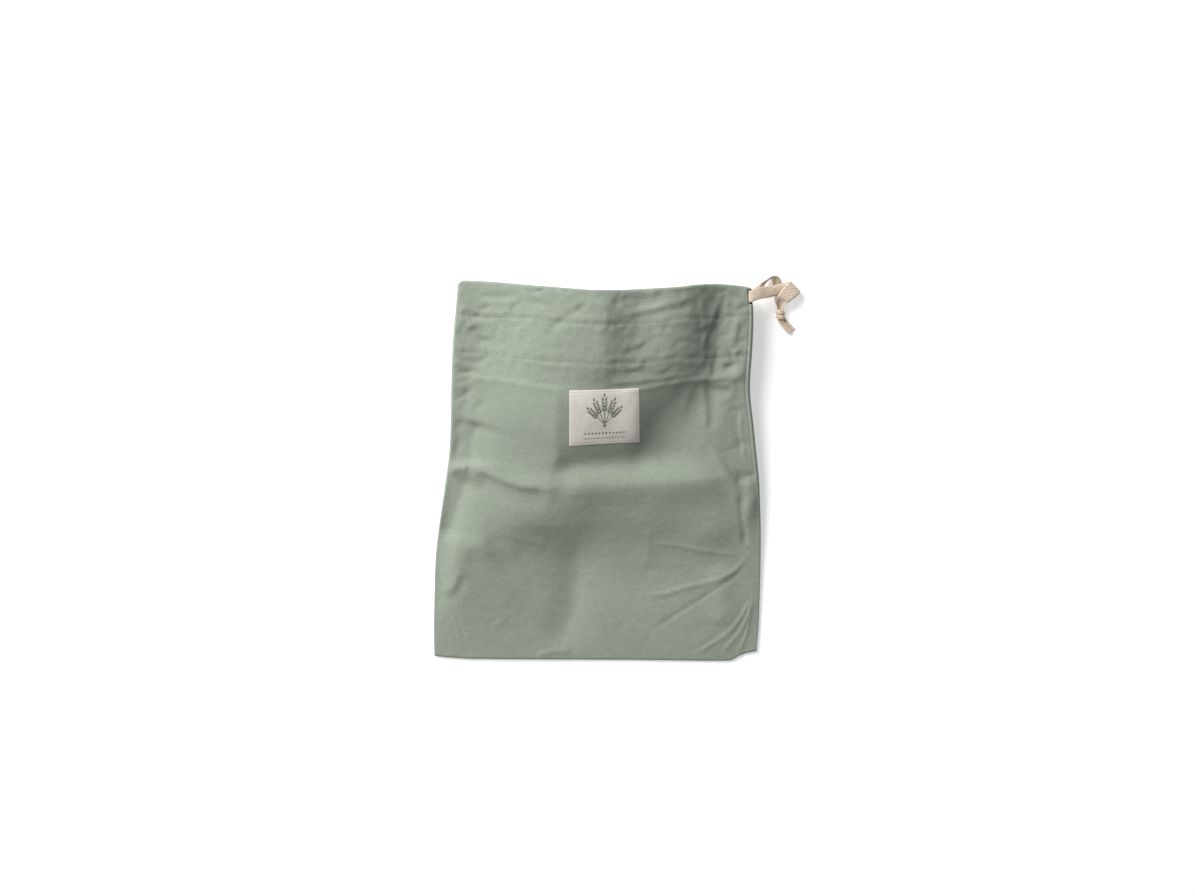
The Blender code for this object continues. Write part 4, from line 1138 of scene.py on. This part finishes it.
def cloth_material(name, finish=None):
    """A woven cloth of CLOTHS: its colour from the threads' tone, times a shade that the
    wash's mottle and grain add to, its bump from the weave and from the crumple.
    `finish` lays more on its colour or its bump."""
    stops, threads, slub, weave_bump, wash_bump, mottle, roughness, sheen = CLOTHS[name]
    material = bpy.data.materials.new(name)
    material.use_nodes = True
    tree = material.node_tree
    shader = set_inputs(tree.nodes["Principled BSDF"], {
        "Roughness": roughness, "Specular IOR Level": 0.25, "Sheen Weight": sheen, "Sheen Roughness": 0.5})
    weave = use_group(tree, THREADS, {"Threads per metre": threads, "Slub shortness": slub})
    wash = use_group(tree, WASH, {"Patches per metre": mottle})
    colour = colour_ramp(tree, weave.outputs["Tone"], stops)
    shade = math_node(tree, "MULTIPLY_ADD", wash.outputs["Mottle"], MOTTLE_SHARE, SHADE_LEAST)
    shade = math_node(tree, "MULTIPLY_ADD", wash.outputs["Grain"], GRAIN_SHARE, shade)
    grey = new_node(tree, "CombineColor")
    for index in range(3):
        tree.links.new(shade, grey.inputs[index])
    colour = mix_colour(tree, 1.0, colour, grey.outputs[0], "MULTIPLY")
    fine = new_node(tree, "Bump", Strength=weave_bump, Distance=0.0005)
    broad = new_node(tree, "Bump", Strength=wash_bump, Distance=0.0012)
    link_chain(tree, (wash.outputs["Crumple"], broad.inputs["Height"]),
               (broad.outputs[0], fine.inputs["Normal"]),
               (weave.outputs["Height"], fine.inputs["Height"]),
               (fine.outputs[0], shader.inputs["Normal"]))
    if finish:
        colour = finish(tree, shader, colour)
    tree.links.new(colour, shader.inputs["Base Color"])
    return material


def printed(tree, shader, colour):
    """The label's two inks, over the cloth's colour."""
    for name, ink in (("ink_green", (0.055, 0.085, 0.060)), ("ink_rust", (0.25, 0.065, 0.03))):
        amount = new_node(tree, "Attribute")
        amount.attribute_name = name
        share = math_node(tree, "MULTIPLY", amount.outputs["Fac"], 0.86)
        colour = mix_colour(tree, share, colour, ink)
    return colour


def twill_lines():
    """Group: the slanting ribs of a twill tape, in the piece's cloth UV, made uneven by a
    little noise."""
    tree, enter, leave = new_group("twill_lines", {"Ribs per metre": 900.0}, ("Rib",))
    place = cloth_uv(tree)
    split = new_node(tree, "SeparateXYZ")
    noise = new_node(tree, "TexNoise", Scale=700.0)
    slant = math_node(tree, "MULTIPLY_ADD", split.outputs[0], 0.35, split.outputs[1])
    phase = math_node(tree, "MULTIPLY", slant, enter.outputs["Ribs per metre"])
    uneven = math_node(tree, "MULTIPLY_ADD", noise.outputs[0], 0.7, phase)
    wave = math_node(tree, "SINE", math_node(tree, "MULTIPLY", uneven, 2 * math.pi))
    rib = math_node(tree, "MULTIPLY_ADD", wave, 0.5, 0.5)
    link_chain(tree, (place, split.inputs[0]), (place, noise.inputs["Vector"]), (rib, leave.inputs["Rib"]))
    return tree


def twill_with_groove_shade(tree, shader, colour):
    """The tape's ribs, raised, with painted shade in the grooves between them, and its brown flecks."""
    ribs = use_group(tree, twill_lines(), {"Ribs per metre": 540.0})
    # painted shade: the colour darkens toward brown in the grooves between the ribs
    share = math_node(tree, "MULTIPLY", math_node(tree, "SUBTRACT", 1.0, ribs.outputs["Rib"]), 0.5)
    colour = mix_colour(tree, share, colour, (0.50, 0.37, 0.26))
    flecks = new_node(tree, "TexNoise", Scale=620.0)
    tree.links.new(new_node(tree, "TexCoord").outputs["Object"], flecks.inputs["Vector"])
    fleck = math_node(tree, "MULTIPLY_ADD", flecks.outputs[0], 5.0, -2.75)
    fleck.node.use_clamp = True
    bump = new_node(tree, "Bump", Strength=0.5, Distance=0.0003)
    link_chain(tree, (shader.inputs["Normal"].links[0].from_socket, bump.inputs["Normal"]),
               (ribs.outputs["Rib"], bump.inputs["Height"]), (bump.outputs[0], shader.inputs["Normal"]))
    return mix_colour(tree, fleck, colour, (0.52, 0.33, 0.19))


# --- the stage ---------------------------------------------------------------
def camera():
    """Straight above the bag, its own up towards the mouth."""
    data = bpy.data.cameras.new("camera")
    data.lens = data.sensor_width * EYE[2] / FIELD_WIDE
    data.clip_end = 20.0
    obj = add_object("camera", data)
    obj.location = (EYE - CENTRE) * MM
    bpy.context.scene.camera = obj


LAMP_PLACE = (-1.42, 1.42, 1.47)
LAMP_SIZE, LAMP_POWER = 1.7, 104.0
TABLE_HALF = 6.0
ROOM_LIGHT = 0.27


def lamp():
    """One round lamp above the upper left, aimed at the middle of the bag."""
    data = bpy.data.lights.new("key", "AREA")
    data.shape = "DISK"
    data.size = LAMP_SIZE
    data.energy = LAMP_POWER
    obj = add_object("key", data)
    obj.location = LAMP_PLACE
    obj.rotation_euler = (-Vector(LAMP_PLACE)).to_track_quat("-Z", "Y").to_euler()


def stage():
    """A white room's light, the lamp, and a pale plain table top."""
    world = bpy.data.worlds.new("room")
    world.use_nodes = True
    world.node_tree.nodes["Background"].inputs[0].default_value = (1.0, 1.0, 1.0, 1.0)
    world.node_tree.nodes["Background"].inputs[1].default_value = ROOM_LIGHT
    bpy.context.scene.world = world
    lamp()
    mesh = bpy.data.meshes.new("table_top")
    corners = [(-1, -1, 0), (1, -1, 0), (1, 1, 0), (-1, 1, 0)]
    mesh.from_pydata([tuple(TABLE_HALF * v for v in corner) for corner in corners], [], [(0, 1, 2, 3)])
    white = bpy.data.materials.new("white_table")
    white.use_nodes = True
    shader = white.node_tree.nodes["Principled BSDF"]
    set_inputs(shader, {"Base Color": (0.75, 0.75, 0.75, 1.0), "Emission Color": (1.0, 1.0, 1.0, 1.0),
                        "Emission Strength": 0.43, "Roughness": 0.9, "Specular IOR Level": 0.1})
    mesh.materials.append(white)
    add_object("table_top", mesh)
    bpy.context.scene.view_settings.view_transform = "Standard"


# --- build -------------------------------------------------------------------
camera()
stage()
cotton = cloth_material("cotton_tape", twill_with_groove_shade)
knot_band, knot_core = knot(cotton)
strand_a, path_a = tape_strand("tape_strand_a", STRAND_A, STRAND_ROWS, cotton, push=FOLD_PUSH)
strand_b, path_b = tape_strand("tape_strand_b", STRAND_B, STRAND_ROWS, cotton)
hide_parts("drawstring_tape", "tape_tail_a")
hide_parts("tape_tail_b")
hidden_tape(cotton)

linen = cloth_material("sage_linen")
thread = cloth_material("sage_thread")
bag = bag_cloth(linen)
front_panel = FrontPanel()
stitch_rows(front_panel, thread)
label_piece = label_patch(front_panel, cloth_material("cream_label", printed),
                          cloth_material("cream_thread"))
